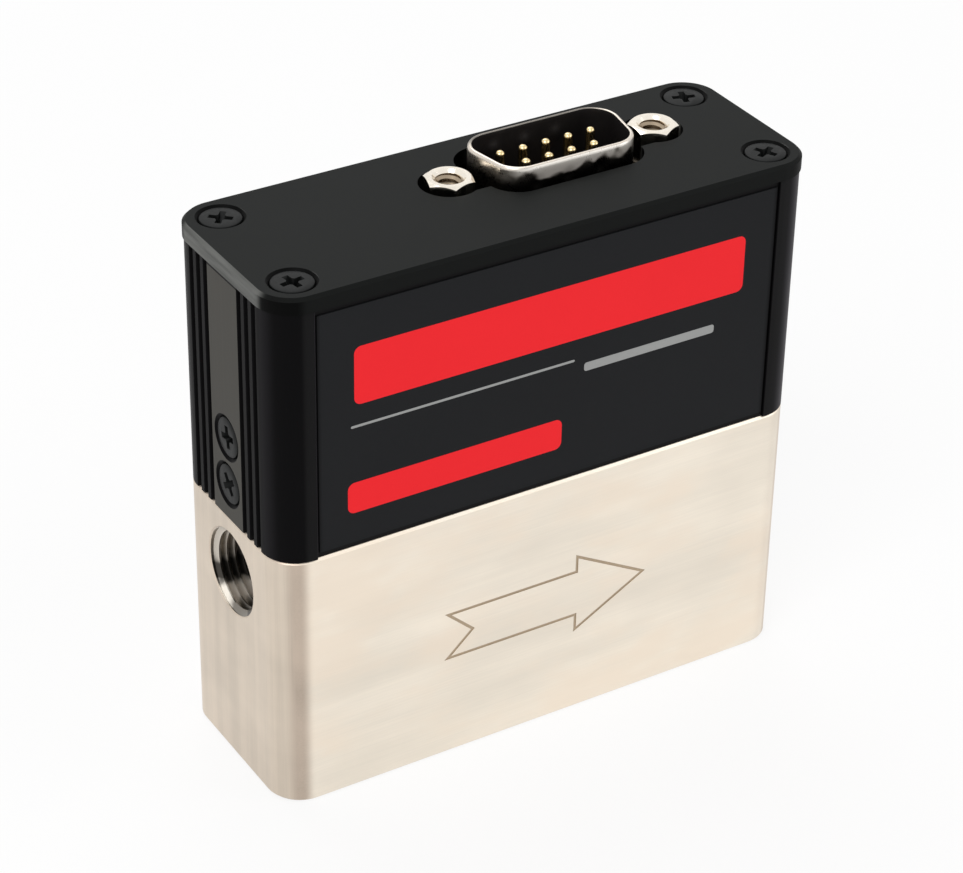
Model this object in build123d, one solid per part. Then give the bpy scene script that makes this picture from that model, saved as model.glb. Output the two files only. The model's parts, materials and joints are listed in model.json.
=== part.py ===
from build123d import *
import math
import os

# Sizes in millimetres. X runs along the flow, Y from front to back, Z up from the bench.

# Steel block
WIDTH, DEPTH, BODY_H = 63.5, 22.2, 30.4
CORNER_R, EDGE_BREAK = 3.9, 0.25
PORT_DROP, PORT_R, PORT_DEPTH, PORT_FLARE = 6.7, 4.86, 8.0, 0.14
BASE_SPAN, BASE_R, BASE_DEPTH, BASE_FLARE = 50.0, 1.65, 7.0, 0.35
LUG_T, LUG_W, LUG_H, LUG_ROOT = 4.55, 9.8, 12.8, 1.0

# Housing and cap
HOUSING_H, END_WALL, LONG_WALL, ROOM_R = 28.65, 2.0, 1.8, 2.0
GROOVE_START, GROOVE_PITCH, GROOVE_COUNT, GROOVE_W, GROOVE_D = 3.55, 1.52, 3, 0.75, 0.6
RECESS_W, RECESS_D = 54.8, 0.35
LABEL_T, LABEL_SIDE, LABEL_FOOT, LABEL_HEAD = 0.2, 0.25, 0.6, 0.75
CAP_T, CAP_OVERHANG, CAP_CHAMFER = 1.75, 0.15, 0.35

# Countersunk screws
SCREW_R, HEAD_OVER, HEAD_LAND, HEAD_SINK = 1.25, 1.1, 0.15, 0.1
CROSS_SPAN, CROSS_SLOT, CROSS_DEPTH, CROSS_SLOPE = 2.7, 0.62, 1.05, 12
CAP_SCREW_L, SIDE_SCREW_L, TIP_GAP = 9.0, 6.0, 0.3
CORNER_IN_X, CORNER_IN_Y, CHANNEL_WALL = 3.85, 3.6, 1.15
SIDE_SCREW_RISE, SIDE_SCREW_PITCH = 4.1, 5.6

# Nine-way connector and its screw locks
CON_FROM_VALVE, CON_BACK_GAP = 8.42, 0.45
SHELL_W, SHELL_H, SHELL_R, SHELL_T, SHELL_TALL = 16.92, 8.36, 2.6, 0.45, 5.9
SHELL_SLOPE, RIM_R, RIM_RISE = 10, 0.2, 2.05
FLANGE_EAR, FLANGE_D, FLANGE_T, FLANGE_R = 2.905, 12.5, 0.5, 1.5
MOULD_INSET, MOULD_T, MOULD_PROUD = 0.2, 1.95, 0.15
PIN_PITCH, ROW_PITCH, PIN_R, PIN_RISE, PIN_TAIL = 2.77, 2.84, 0.5, 1.27, 1.0
LOCK_SPAN, LOCK_AF, LOCK_RISE, LOCK_BORE_R, LOCK_BORE_L = 24.99, 4.76, 0.67, 1.42, 4.2
LOCK_STUD_R, LOCK_TIP_R, LOCK_CROWN, LOCK_FLARE = 1.6, 1.0, 0.26, 0.35
LOCK_TURNS = (15, 28)
OPENING_GAP, OPENING_R, LOBE_GAP, NECK_W = 1.1, 3.4, 0.45, 5.6
CON_LIFT = 2.9

# Circuit boards and what is on them
BOARD_T, BOARD_GAP, BOARD_EAR, BOARD_R = 1.2, 0.6, 4.5, 1.0
MAIN_BACK_GAP, MAIN_END_GAP, MAIN_LIFT, MAIN_HEADROOM = 2.1, 4.75, 1.2, 2.65
LINK_W, LINK_D, LINK_OVER, SIDE_GAP = 4.0, 3.8, 0.9, 0.2
HEADER_D, HEADER_H = 2.6, 3.2
CHIP_W, CHIP_T, CHIP_LIFT = 7.0, 1.0, 5.6
DRIVER_W, DRIVER_D, DRIVER_T = 4.0, 3.2, 1.3
CRYSTAL_W, CRYSTAL_H, CRYSTAL_T, CRYSTAL_LIFT = 4.2, 2.0, 0.9, 13.8
CAP_W, CAP_H, CAP_D, CAP_PITCH, CAP_ROWS = 1.25, 2.0, 1.0, 2.4, (2.8, 17.2)
PART_EDGE = 0.8

# Sensor on top of the block
TAP_R, TAP_START, TAP_END = 0.7, 4.25, 1.8
MANIFOLD_REACH, MANIFOLD_EDGE, MANIFOLD_H, CHANNEL_W, CHANNEL_H = 2.9, 1.3, 3.8, 1.8, 1.0
SENSOR_BOARD_T, SEAL_MID_R, SEAL_CORD_R = 1.0, 1.5, 0.5
DIE_W, DIE_D, DIE_T = 2.7, 1.4, 0.5
AMP_W, AMP_D, AMP_T = 5.0, 4.0, 1.1
SENSOR_SCREW_OUT, SMALL_R, SMALL_HEAD_R, SMALL_HEAD_H, SMALL_GRIP = 1.1, 1.0, 1.8, 1.8, 3.6

# Flow bore
BORE_R, BORE_TO_VALVE, NARROW_R = 3.6, 18.5, 1.6
RING_T, RING_WALL, SCREEN_T, SCREEN_HOLE_R, SCREEN_PITCH, SCREEN_RINGS = 1.0, 0.7, 0.4, 0.36, 1.05, 3
ELEMENT_GAP, ELEMENT_HOLE_R, ELEMENT_PITCH, ELEMENT_RINGS = 2.6, 0.56, 1.42, 2

# Valve
VALVE_FROM_END, STROKE, END_GAP = 15.25, 0.5, 0.3
LIP_BELOW_PORT, LIP_H, LIP_R, LIP_FOOT_R, ORIFICE_R = 1.1, 1.1, 1.0, 1.5, 0.5
INSERT_R, INSERT_H, INSERT_MOUTH_R, CHAMBER_R = 2.6, 4.0, 1.3, 4.2
OUTLET_R, OUTLET_DROP, OUTLET_BASE, OUTLET_L = 1.3, 10.0, 9.0, 9.6
TUBE_BORE_R, TUBE_WALL, TUBE_FLANGE_R, TUBE_FLANGE_T, TUBE_SHORT = 3.05, 0.45, 5.5, 3.0, 1.4
VALVE_CORD_R, INSERT_SEAL_LIFT = 0.45, 1.3
PLATE_T, PLATE_R, POST_IN, POST_AF, BLIND_L = 1.2, 1.2, 1.6, 3.0, 4.0
CAN_R, CAN_GAP, CAN_WALL, CAN_TOP, CAN_CHAMFER = 7.2, 0.35, 0.9, 1.2, 0.4
NUT_AF, NUT_T, NUT_GAP = 5.0, 1.3, 0.5
BOBBIN_WALL, BOBBIN_FLANGE_T, COIL_GAP, LEAD_R, LEAD_PITCH = 0.6, 0.8, 0.3, 0.35, 2.54
PLUNGER_GAP, PLUNGER_L, PLUNGER_CHAMFER, SLOT_W, SLOT_D = 0.1, 14.2, 0.4, 0.8, 0.2
PAD_R, PAD_PROUD, PAD_SUNK = 1.5, 1.4, 1.0
SPRING_R, SPRING_WIRE_R, SPRING_PITCH = 1.25, 0.2, 0.82
SPRING_BORE_R, SPRING_SUNK, POLE_POCKET = 1.6, 5.2, 1.0
STUD_R = 1.5

# Places that follow from the sizes above
END, FRONT = WIDTH / 2, -DEPTH / 2
ROOM_X, ROOM_Y = END - END_WALL, DEPTH / 2 - LONG_WALL
HOUSING_TOP = BODY_H + HOUSING_H
TOTAL_H = HOUSING_TOP + CAP_T
HEAD_R = SCREW_R + HEAD_OVER
SINK_R = HEAD_R + HEAD_LAND + HEAD_SINK
CHANNEL_R = SCREW_R + CHANNEL_WALL
CORNER_X, CORNER_Y = END - CORNER_IN_X, DEPTH / 2 - CORNER_IN_Y
SIDE_SCREW_Z = (BODY_H + SIDE_SCREW_RISE, BODY_H + SIDE_SCREW_RISE + SIDE_SCREW_PITCH)
PORT_Z, PORT_END = BODY_H - PORT_DROP, END - PORT_DEPTH

VALVE_X = END - VALVE_FROM_END
CON_X = VALVE_X - CON_FROM_VALVE
CON_Y = ROOM_Y - FLANGE_D / 2 - CON_BACK_GAP
RIM_Z, PIN_TOP, LOCK_TOP = TOTAL_H + RIM_RISE, TOTAL_H + PIN_RISE, TOTAL_H + LOCK_RISE
FLANGE_Z = RIM_Z - SHELL_TALL
FLANGE_Z0 = FLANGE_Z - FLANGE_T
MOULD_Z0 = FLANGE_Z0 - MOULD_T
BACK_Z0 = MOULD_Z0 - FLANGE_T
BOARD_TOP = MOULD_Z0 - CON_LIFT
BOARD_Z0 = BOARD_TOP - BOARD_T
FLANGE_W, BOARD_W = LOCK_SPAN + 2 * FLANGE_EAR, LOCK_SPAN + 2 * BOARD_EAR
BOARD_Y = ROOM_Y - BOARD_GAP
BOARD_END = CON_X - BOARD_W / 2

BORE_START, BORE_END = -PORT_END, VALVE_X - BORE_TO_VALVE
TAPS = (BORE_START + TAP_START, BORE_END - TAP_END)
SENSOR_X, SENSOR_W = sum(TAPS) / 2, TAPS[1] - TAPS[0] + 2 * MANIFOLD_REACH
MANIFOLD_TOP = BODY_H + MANIFOLD_H
SENSOR_TOP = MANIFOLD_TOP + SENSOR_BOARD_T
MAIN_BACK = ROOM_Y - MAIN_BACK_GAP
MAIN_FRONT = MAIN_BACK - BOARD_T
MAIN_X = (-ROOM_X + MAIN_END_GAP, BOARD_END - SIDE_GAP)
MAIN_Z = (SENSOR_TOP + MAIN_LIFT, HOUSING_TOP - MAIN_HEADROOM)
SENSOR_SCREW_X = (TAPS[0] - SENSOR_SCREW_OUT, TAPS[1] + SENSOR_SCREW_OUT)
SENSOR_SCREW_Y = MAIN_FRONT - SMALL_HEAD_R - SIDE_GAP
MANIFOLD_W = 2 * (SENSOR_SCREW_Y + SMALL_R + MANIFOLD_EDGE)

LIP_Z = PORT_Z - LIP_BELOW_PORT
CHAMBER_Z = LIP_Z - LIP_H
INSERT_Z = CHAMBER_Z - INSERT_H
TUBE_R = TUBE_BORE_R + TUBE_WALL
TUBE_Z = BODY_H - TUBE_FLANGE_T
PLATE_TOP = BODY_H + PLATE_T
POST_OUT = (CAN_R + CAN_GAP + POST_AF / math.sqrt(3)) / math.sqrt(2)
PLATE_W = 2 * (POST_OUT + POST_IN)
POSTS = [(VALVE_X + i * POST_OUT, j * POST_OUT) for i, j in ((-1, -1), (1, -1), (1, 1), (-1, 1))]
CAN_IN_R = CAN_R - CAN_WALL
BOBBIN_TOP = BOARD_Z0 - NUT_GAP - NUT_T - CAN_TOP
CAN_TOP_Z = BOBBIN_TOP + CAN_TOP
NUT_TOP = CAN_TOP_Z + NUT_T
BOBBIN_R = TUBE_R + BOBBIN_WALL
COIL_R = CAN_IN_R - COIL_GAP
COIL_Z = (PLATE_TOP + BOBBIN_FLANGE_T, BOBBIN_TOP - BOBBIN_FLANGE_T)
LEAD_Y = math.sqrt(((BOBBIN_R + COIL_R) / 2) ** 2 - (LEAD_PITCH / 2) ** 2)
LEADS = [(VALVE_X + s * LEAD_PITCH / 2, LEAD_Y) for s in (-1, 1)]
TUBE_TOP = BOBBIN_TOP - TUBE_SHORT
PLUNGER_Z = LIP_Z + PAD_PROUD
PLUNGER_TOP = PLUNGER_Z + PLUNGER_L
POLE_Z = PLUNGER_TOP + STROKE + END_GAP

BASE = (Align.CENTER, Align.CENTER, Align.MIN)


def post(r, z0, z1, x=0.0, y=0.0):
    """Upright cylinder between two heights."""
    return Pos(x, y, z0) * Cylinder(r, z1 - z0, align=BASE)


def posts(r, z0, z1, spots):
    """Upright cylinders at several places."""
    return [post(r, z0, z1, x, y) for x, y in spots]


def rod(r, x0, x1, y=0.0, z=0.0):
    """Cylinder lying along X, between two places in either order."""
    low, high = sorted((x0, x1))
    return Pos(low, y, z) * Rot(0, 90, 0) * Cylinder(r, high - low, align=BASE)


def cone(r0, r1, z0, z1, x=0.0, y=0.0):
    """Upright cone between two heights."""
    return Pos(x, y, z0) * Cone(r0, r1, z1 - z0, align=BASE)


def end_flare(r0, r1, s, z):
    """Cone that opens from r0 to r1 at 45 degrees into the end face on side s."""
    deep = r1 - r0
    return Pos(s * (END - deep), 0, z) * Rot(0, s * 90, 0) * Cone(r0, r1, deep, align=BASE)


def brick(x, y, z):
    """Box given by its limits along each axis."""
    (x0, x1), (y0, y1), (z0, z1) = sorted(x), sorted(y), sorted(z)
    return Pos((x0 + x1) / 2, (y0 + y1) / 2, (z0 + z1) / 2) * Box(x1 - x0, y1 - y0, z1 - z0)


def plate(w, d, r, z0, z1, x=0.0, y=0.0):
    """Flat plate with rounded corners."""
    return Pos(x, y, z0) * extrude(RectangleRounded(w, d, r), z1 - z0)


def ring(r_out, r_in, z0, z1, x=0.0, y=0.0):
    """Upright tube."""
    return post(r_out, z0, z1, x, y) - post(r_in, z0, z1, x, y)


def hexagon(af, z0, z1):
    """Upright hexagonal bar by its width across flats."""
    return Pos(0, 0, z0) * extrude(RegularPolygon(af / 2, 6, major_radius=False), z1 - z0)


def hex_grid(pitch, rings):
    """Centres of a hexagonal pattern of holes."""
    steps = range(-rings, rings + 1)
    cells = [(i, j) for i in steps for j in steps if abs(i + j) <= rings]
    return [(pitch * (i + j / 2), pitch * j * math.sqrt(3) / 2) for i, j in cells]


def d_face(w, h, r):
    """Connector outline, wide side at +Y, w by h over its rounded corners."""
    a = math.radians(SHELL_SLOPE)
    reach = math.cos(a) * (w / 2 - r) - math.sin(a) * (h / 2 - r) + r
    wide = (reach + math.sin(a) * h / 2) / math.cos(a)
    narrow = (reach - math.sin(a) * h / 2) / math.cos(a)
    face = Polygon((wide, h / 2), (-wide, h / 2), (-narrow, -h / 2), (narrow, -h / 2), align=None)
    return fillet(face.vertices(), r)


def d_bar(grow, z0, z1):
    """Bar of the connector outline at the connector's place, grown all round."""
    face = d_face(SHELL_W + 2 * grow, SHELL_H + 2 * grow, SHELL_R + grow)
    return Pos(CON_X, CON_Y, z0) * extrude(face, z1 - z0)


def pin_spots():
    """Five pins at the back, four between them in front."""
    back = [(CON_X + (i - 2) * PIN_PITCH, CON_Y + ROW_PITCH / 2) for i in range(5)]
    front = [(CON_X + (i - 1.5) * PIN_PITCH, CON_Y - ROW_PITCH / 2) for i in range(4)]
    return back + front


def lock_spots():
    return [(CON_X + s * LOCK_SPAN / 2, CON_Y) for s in (-1, 1)]


def corner_spots():
    return [(i * CORNER_X, j * CORNER_Y) for i in (-1, 1) for j in (-1, 1)]


def sensor_spots():
    return [(x, j * SENSOR_SCREW_Y) for x in SENSOR_SCREW_X for j in (-1, 1)]


def flat_screw(length):
    """Countersunk cross-recessed screw with its head's top at z 0."""
    neck = -HEAD_LAND - HEAD_OVER
    body = post(HEAD_R, -HEAD_LAND, 0) + cone(SCREW_R, HEAD_R, neck, -HEAD_LAND)
    body += post(SCREW_R, -length, neck)
    body = chamfer(body.edges().sort_by(Axis.Z)[0], SCREW_R / 5)
    cross = Rectangle(CROSS_SPAN, CROSS_SLOT) + Rectangle(CROSS_SLOT, CROSS_SPAN)
    body -= extrude(cross, amount=CROSS_DEPTH, dir=(0, 0, -1), taper=CROSS_SLOPE)
    return body - cone(CROSS_SLOT / 3, CROSS_SLOT * 1.2, -CROSS_DEPTH - 0.1, 0)


def socket_screw(z_seat, z_tip, x, y):
    """Small cylinder-head screw with a hexagon socket."""
    top = z_seat + SMALL_HEAD_H
    body = post(SMALL_HEAD_R, z_seat, top) + post(SMALL_R, z_tip, z_seat)
    return Pos(x, y, 0) * (body - hexagon(SMALL_HEAD_R * 0.85, top - SMALL_HEAD_H * 0.55, top))


def flow_body():
    """Machined steel block: ports, flow bore, valve pocket and the two end lugs."""
    body = extrude(RectangleRounded(WIDTH, DEPTH, CORNER_R), BODY_H)
    body = chamfer(body.edges().group_by(Axis.Z)[-1], EDGE_BREAK)
    body = chamfer(body.edges().group_by(Axis.Z)[0], EDGE_BREAK)
    for s in (-1, 1):
        x = (s * (ROOM_X - LUG_T), s * ROOM_X)
        body += brick(x, (-LUG_W / 2, LUG_W / 2), (BODY_H - LUG_ROOT, BODY_H + LUG_H))
        for z in SIDE_SCREW_Z:
            body -= rod(SCREW_R, s * (END - HEAD_SINK - SIDE_SCREW_L - TIP_GAP), s * END, 0, z)
        body -= rod(PORT_R, s * PORT_END, s * END, 0, PORT_Z)
        body -= end_flare(PORT_R, PORT_R + PORT_FLARE, s, PORT_Z)
        body -= post(BASE_R, 0, BASE_DEPTH, s * BASE_SPAN / 2)
        body -= cone(BASE_R + BASE_FLARE, BASE_R, 0, BASE_FLARE, s * BASE_SPAN / 2)
    body -= rod(BORE_R, BORE_START, BORE_END, 0, PORT_Z) + rod(NARROW_R, BORE_END, VALVE_X, 0, PORT_Z)
    body -= posts(TAP_R, PORT_Z, BODY_H, [(x, 0) for x in TAPS])
    body -= posts(SMALL_R, BODY_H - BLIND_L, BODY_H, sensor_spots() + POSTS)
    body -= post(TUBE_FLANGE_R, TUBE_Z, BODY_H, VALVE_X) + post(CHAMBER_R, CHAMBER_Z, TUBE_Z, VALVE_X)
    body -= post(INSERT_R, INSERT_Z, CHAMBER_Z, VALVE_X)
    body -= post(OUTLET_R, LIP_Z - OUTLET_DROP, INSERT_Z, VALVE_X)
    foot = LIP_Z - OUTLET_BASE
    slant = Rot(0, math.degrees(math.atan2(END - VALVE_X, PORT_Z - foot)), 0)
    return body - Pos(VALVE_X, 0, foot) * slant * Cylinder(OUTLET_R, OUTLET_L, align=BASE)


def housing():
    """Extruded cover with grooved ends, a recess in each long face and screw channels."""
    outer = RectangleRounded(WIDTH, DEPTH, CORNER_R)
    channels = Sketch() + [Pos(x, y) * Circle(CHANNEL_R) for x, y in corner_spots()]
    section = outer - RectangleRounded(2 * ROOM_X, 2 * ROOM_Y, ROOM_R) + (channels & outer)
    section -= [Pos(x, y) * Circle(SCREW_R) for x, y in corner_spots()]
    section -= [Pos(0, s * DEPTH / 2) * Rectangle(RECESS_W, 2 * RECESS_D) for s in (-1, 1)]
    for k in range(GROOVE_COUNT):
        y = GROOVE_START + k * GROOVE_PITCH
        section -= [Pos(i * END, j * y) * Rectangle(2 * GROOVE_D, GROOVE_W) for i in (-1, 1) for j in (-1, 1)]
    body = Pos(0, 0, BODY_H) * extrude(section, HOUSING_H)
    for s in (-1, 1):
        for z in SIDE_SCREW_Z:
            body -= rod(SCREW_R, s * ROOM_X, s * END, 0, z) + end_flare(SCREW_R, SINK_R, s, z)
    return body


def top_cap():
    """Flat cover plate with the connector's opening and four countersinks."""
    w, d, r = WIDTH + 2 * CAP_OVERHANG, DEPTH + 2 * CAP_OVERHANG, CORNER_R + CAP_OVERHANG
    body = plate(w, d, r, HOUSING_TOP, TOTAL_H)
    body = chamfer(body.edges().group_by(Axis.Z)[-1], CAP_CHAMFER)
    grow = 2 * (SHELL_T + OPENING_GAP)
    opening = d_face(SHELL_W + grow, SHELL_H + grow, OPENING_R) + Rectangle(LOCK_SPAN, NECK_W)
    lobe_r = LOCK_AF / math.sqrt(3) + LOBE_GAP
    opening += [Pos(s * LOCK_SPAN / 2, 0) * Circle(lobe_r) for s in (-1, 1)]
    body -= Pos(CON_X, CON_Y, HOUSING_TOP) * extrude(opening, CAP_T)
    for x, y in corner_spots():
        body -= post(SCREW_R, HOUSING_TOP, TOTAL_H, x, y)
        body -= cone(SCREW_R, SINK_R, TOTAL_H - SINK_R + SCREW_R, TOTAL_H, x, y)
    return body


def cap_screws():
    screw = flat_screw(CAP_SCREW_L)
    turns = (8, 50, 27, 71)
    return [Pos(x, y, TOTAL_H - HEAD_SINK) * Rot(0, 0, a) * screw for (x, y), a in zip(corner_spots(), turns)]


def side_screws():
    screw = flat_screw(SIDE_SCREW_L)
    places = [(s, z, a) for s in (-1, 1) for z, a in zip(SIDE_SCREW_Z, (35, 10))]
    return [Pos(s * (END - HEAD_SINK), 0, z) * Rot(0, s * 90, 0) * Rot(0, 0, a) * screw for s, z, a in places]


def front_label():
    back = FRONT + RECESS_D
    half = RECESS_W / 2 - LABEL_SIDE
    return brick((-half, half), (back - LABEL_T, back), (BODY_H + LABEL_FOOT, HOUSING_TOP - LABEL_HEAD))


def connector_shell():
    """Pressed front shell: mounting flange and the shroud round the pins."""
    shroud = d_bar(SHELL_T, FLANGE_Z, RIM_Z)
    shroud = fillet(shroud.edges().group_by(Axis.Z)[-1], RIM_R)
    body = plate(FLANGE_W, FLANGE_D, FLANGE_R, FLANGE_Z0, FLANGE_Z, CON_X, CON_Y) + shroud
    body -= d_bar(0, FLANGE_Z0, RIM_Z)
    return body - posts(LOCK_STUD_R, FLANGE_Z0, FLANGE_Z, lock_spots())


def connector_insulator():
    """Moulded block that carries the pins."""
    w, d, r = FLANGE_W - 2 * MOULD_INSET, FLANGE_D - 2 * MOULD_INSET, FLANGE_R - MOULD_INSET
    body = plate(w, d, r, MOULD_Z0, FLANGE_Z0, CON_X, CON_Y) + d_bar(0, BOARD_TOP, FLANGE_Z + MOULD_PROUD)
    body -= posts(PIN_R, BOARD_TOP, FLANGE_Z + MOULD_PROUD, pin_spots())
    return body - posts(LOCK_STUD_R, MOULD_Z0, FLANGE_Z0, lock_spots())


def connector_back_shell():
    """Pressed rear shell under the moulded block."""
    body = plate(FLANGE_W, FLANGE_D, FLANGE_R, BACK_Z0, MOULD_Z0, CON_X, CON_Y)
    body += d_bar(SHELL_T, BOARD_TOP + SHELL_T, BACK_Z0)
    body -= d_bar(0, BOARD_TOP, MOULD_Z0)
    return body - posts(LOCK_STUD_R, BACK_Z0, MOULD_Z0, lock_spots())


def connector_pins():
    pin = post(PIN_R, BOARD_Z0 - PIN_TAIL, PIN_TOP)
    pin = fillet(pin.edges().sort_by(Axis.Z)[-1], PIN_R * 0.88)
    return [Pos(x, y, 0) * pin for x, y in pin_spots()]


def jackscrews():
    """Hexagonal screw locks: tapped head on the flange, stud down to the board."""
    rise = LOCK_TOP - FLANGE_Z
    crown_r = LOCK_AF / math.sqrt(3) - LOCK_CROWN * math.sqrt(3)
    head = hexagon(LOCK_AF, FLANGE_Z, LOCK_TOP)
    head &= cone(crown_r + rise * math.sqrt(3), crown_r, FLANGE_Z, LOCK_TOP)
    head -= post(LOCK_BORE_R, LOCK_TOP - LOCK_BORE_L, LOCK_TOP)
    head -= cone(LOCK_BORE_R, LOCK_BORE_R + LOCK_FLARE, LOCK_TOP - LOCK_FLARE, LOCK_TOP)
    head += post(LOCK_STUD_R, BOARD_TOP, FLANGE_Z) + post(LOCK_TIP_R, BOARD_Z0, BOARD_TOP)
    return [Pos(x, y, 0) * Rot(0, 0, a) * head for (x, y), a in zip(lock_spots(), LOCK_TURNS)]


def connector_board():
    """Circuit board under the connector, carried on the valve's posts."""
    body = plate(BOARD_W, 2 * BOARD_Y, BOARD_R, BOARD_Z0, BOARD_TOP, CON_X)
    body -= posts(PIN_R, BOARD_Z0, BOARD_TOP, pin_spots())
    body -= posts(LOCK_TIP_R, BOARD_Z0, BOARD_TOP, lock_spots())
    return body - posts(SMALL_R, BOARD_Z0, BOARD_TOP, POSTS[:3])


def board_standoffs():
    """Posts that clamp the valve plate and carry the connector board."""
    body = hexagon(POST_AF, PLATE_TOP, BOARD_Z0) + post(SMALL_R, BODY_H - SMALL_GRIP, PLATE_TOP)
    body -= post(SMALL_R, BOARD_Z0 - BLIND_L, BOARD_Z0)
    return [Pos(x, y, 0) * body for x, y in POSTS[:3]]


def board_screws():
    return [socket_screw(BOARD_TOP, BOARD_Z0 - SMALL_GRIP, x, y) for x, y in POSTS[:3]]


def valve_plate_screw():
    return socket_screw(PLATE_TOP, BODY_H - SMALL_GRIP, *POSTS[3])


def main_board():
    """Upright circuit board beside the sensor."""
    return brick(MAIN_X, (MAIN_FRONT, MAIN_BACK), MAIN_Z)


def on_main(x, z, w, h, t):
    """Component on the main board's front, by its lower left corner."""
    return brick((x, x + w), (MAIN_FRONT - t, MAIN_FRONT), (z, z + h))


def microcontroller():
    return on_main(MAIN_X[1] - PART_EDGE - CHIP_W, MAIN_Z[0] + CHIP_LIFT, CHIP_W, CHIP_W, CHIP_T)


def timing_crystal():
    return on_main(MAIN_X[0] + PART_EDGE, MAIN_Z[0] + CRYSTAL_LIFT, CRYSTAL_W, CRYSTAL_H, CRYSTAL_T)


def valve_driver():
    """Power chip on the connector board, clear of the connector's flange."""
    x, y = BOARD_END + 2 * PART_EDGE, -BOARD_Y + PART_EDGE
    return brick((x, x + DRIVER_W), (y, y + DRIVER_D), (BOARD_TOP, BOARD_TOP + DRIVER_T))


def board_capacitors():
    x = MAIN_X[0] + PART_EDGE
    spots = [(x + k * CAP_PITCH, MAIN_Z[0] + z) for z in CAP_ROWS for k in range(3)]
    return [on_main(x, z, CAP_W, CAP_H, CAP_D) for x, z in spots]


def board_link():
    """Header that joins the two boards at their shared corner."""
    z = (BOARD_Z0 - LINK_OVER, BOARD_TOP + LINK_OVER)
    return brick((BOARD_END - LINK_W, BOARD_END), (MAIN_FRONT - LINK_D, MAIN_FRONT), z)


def sensor_header():
    """Header that stands on the sensor's board and holds the main board."""
    x = (SENSOR_SCREW_X[0] + SMALL_HEAD_R + SIDE_GAP, MAIN_X[1])
    return brick(x, (MAIN_FRONT - HEADER_D, MAIN_FRONT), (SENSOR_TOP, SENSOR_TOP + HEADER_H))


def sensor_manifold():
    """Block that bridges the two pressure taps and holds the sensing channel."""
    body = plate(SENSOR_W, MANIFOLD_W, BOARD_R, BODY_H, MANIFOLD_TOP, SENSOR_X)
    channel = (TAPS[0] - TAP_R, TAPS[1] + TAP_R)
    body -= brick(channel, (-CHANNEL_W / 2, CHANNEL_W / 2), (MANIFOLD_TOP - CHANNEL_H, MANIFOLD_TOP))
    for x in TAPS:
        body -= post(TAP_R, BODY_H, MANIFOLD_TOP, x)
        body -= ring(SEAL_MID_R + SEAL_CORD_R, SEAL_MID_R - SEAL_CORD_R, BODY_H, BODY_H + 2 * SEAL_CORD_R, x)
    return body - posts(SMALL_R, BODY_H, MANIFOLD_TOP, sensor_spots())


def sensor_orings():
    return [Pos(x, 0, BODY_H + SEAL_CORD_R) * Torus(SEAL_MID_R, SEAL_CORD_R) for x in TAPS]


def sensor_board():
    body = plate(SENSOR_W, MANIFOLD_W, BOARD_R, MANIFOLD_TOP, SENSOR_TOP, SENSOR_X)
    return body - posts(SMALL_R, MANIFOLD_TOP, SENSOR_TOP, sensor_spots())


def sensor_amplifier():
    x = (SENSOR_X - AMP_W / 2, SENSOR_X + AMP_W / 2)
    y = MAIN_FRONT - HEADER_D - 2 * PART_EDGE
    return brick(x, (y - AMP_D, y), (SENSOR_TOP, SENSOR_TOP + AMP_T))


def flow_sensor_chip():
    """Heated sensing die that hangs in the channel from its board."""
    x = (SENSOR_X - DIE_W / 2, SENSOR_X + DIE_W / 2)
    return brick(x, (-DIE_D / 2, DIE_D / 2), (MANIFOLD_TOP - DIE_T, MANIFOLD_TOP))


def sensor_screws():
    return [socket_screw(SENSOR_TOP, BODY_H - SMALL_GRIP, x, y) for x, y in sensor_spots()]


def screen_ring():
    x0, x1 = BORE_START, BORE_START + RING_T
    return rod(BORE_R, x0, x1, 0, PORT_Z) - rod(BORE_R - RING_WALL, x0, x1, 0, PORT_Z)


def drilled_disc(x0, x1, hole_r, spots):
    """Disc that fills the flow bore, pierced along X."""
    return rod(BORE_R, x0, x1, 0, PORT_Z) - [rod(hole_r, x0, x1, y, PORT_Z + z) for y, z in spots]


def inlet_screen():
    x0 = BORE_START + RING_T
    return drilled_disc(x0, x0 + SCREEN_T, SCREEN_HOLE_R, hex_grid(SCREEN_PITCH, SCREEN_RINGS))


def laminar_element():
    """Bundle of parallel passages that splits the flow evenly past the sensor."""
    x0, x1 = TAPS[0] + ELEMENT_GAP, TAPS[1] - ELEMENT_GAP
    return drilled_disc(x0, x1, ELEMENT_HOLE_R, hex_grid(ELEMENT_PITCH, ELEMENT_RINGS))


def insert_groove():
    """Height of the insert's seal groove and its inner radius."""
    z0 = INSERT_Z + INSERT_SEAL_LIFT
    return z0, INSERT_R - 2 * VALVE_CORD_R


def valve_seat():
    """Insert with the orifice and its raised sealing lip."""
    body = post(INSERT_R, INSERT_Z, CHAMBER_Z) + cone(LIP_FOOT_R, LIP_R, CHAMBER_Z, LIP_Z)
    body -= post(ORIFICE_R, INSERT_Z, LIP_Z)
    body -= cone(INSERT_MOUTH_R, ORIFICE_R, INSERT_Z, INSERT_Z + 2 * (INSERT_MOUTH_R - ORIFICE_R))
    z0, r_in = insert_groove()
    return Pos(VALVE_X, 0, 0) * (body - ring(INSERT_R, r_in, z0, z0 + 2 * VALVE_CORD_R))


def flange_groove():
    """Mid radius of the seal groove under the tube's flange."""
    return (CHAMBER_R + TUBE_FLANGE_R) / 2


def core_tube():
    """Thin tube that seals the gas from the coil and guides the plunger."""
    body = post(TUBE_FLANGE_R, TUBE_Z, BODY_H) + post(TUBE_R, BODY_H, TUBE_TOP)
    mid = flange_groove()
    groove = ring(mid + VALVE_CORD_R, mid - VALVE_CORD_R, TUBE_Z, TUBE_Z + 2 * VALVE_CORD_R)
    return Pos(VALVE_X, 0, 0) * (body - post(TUBE_BORE_R, TUBE_Z, TUBE_TOP) - groove)


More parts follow.
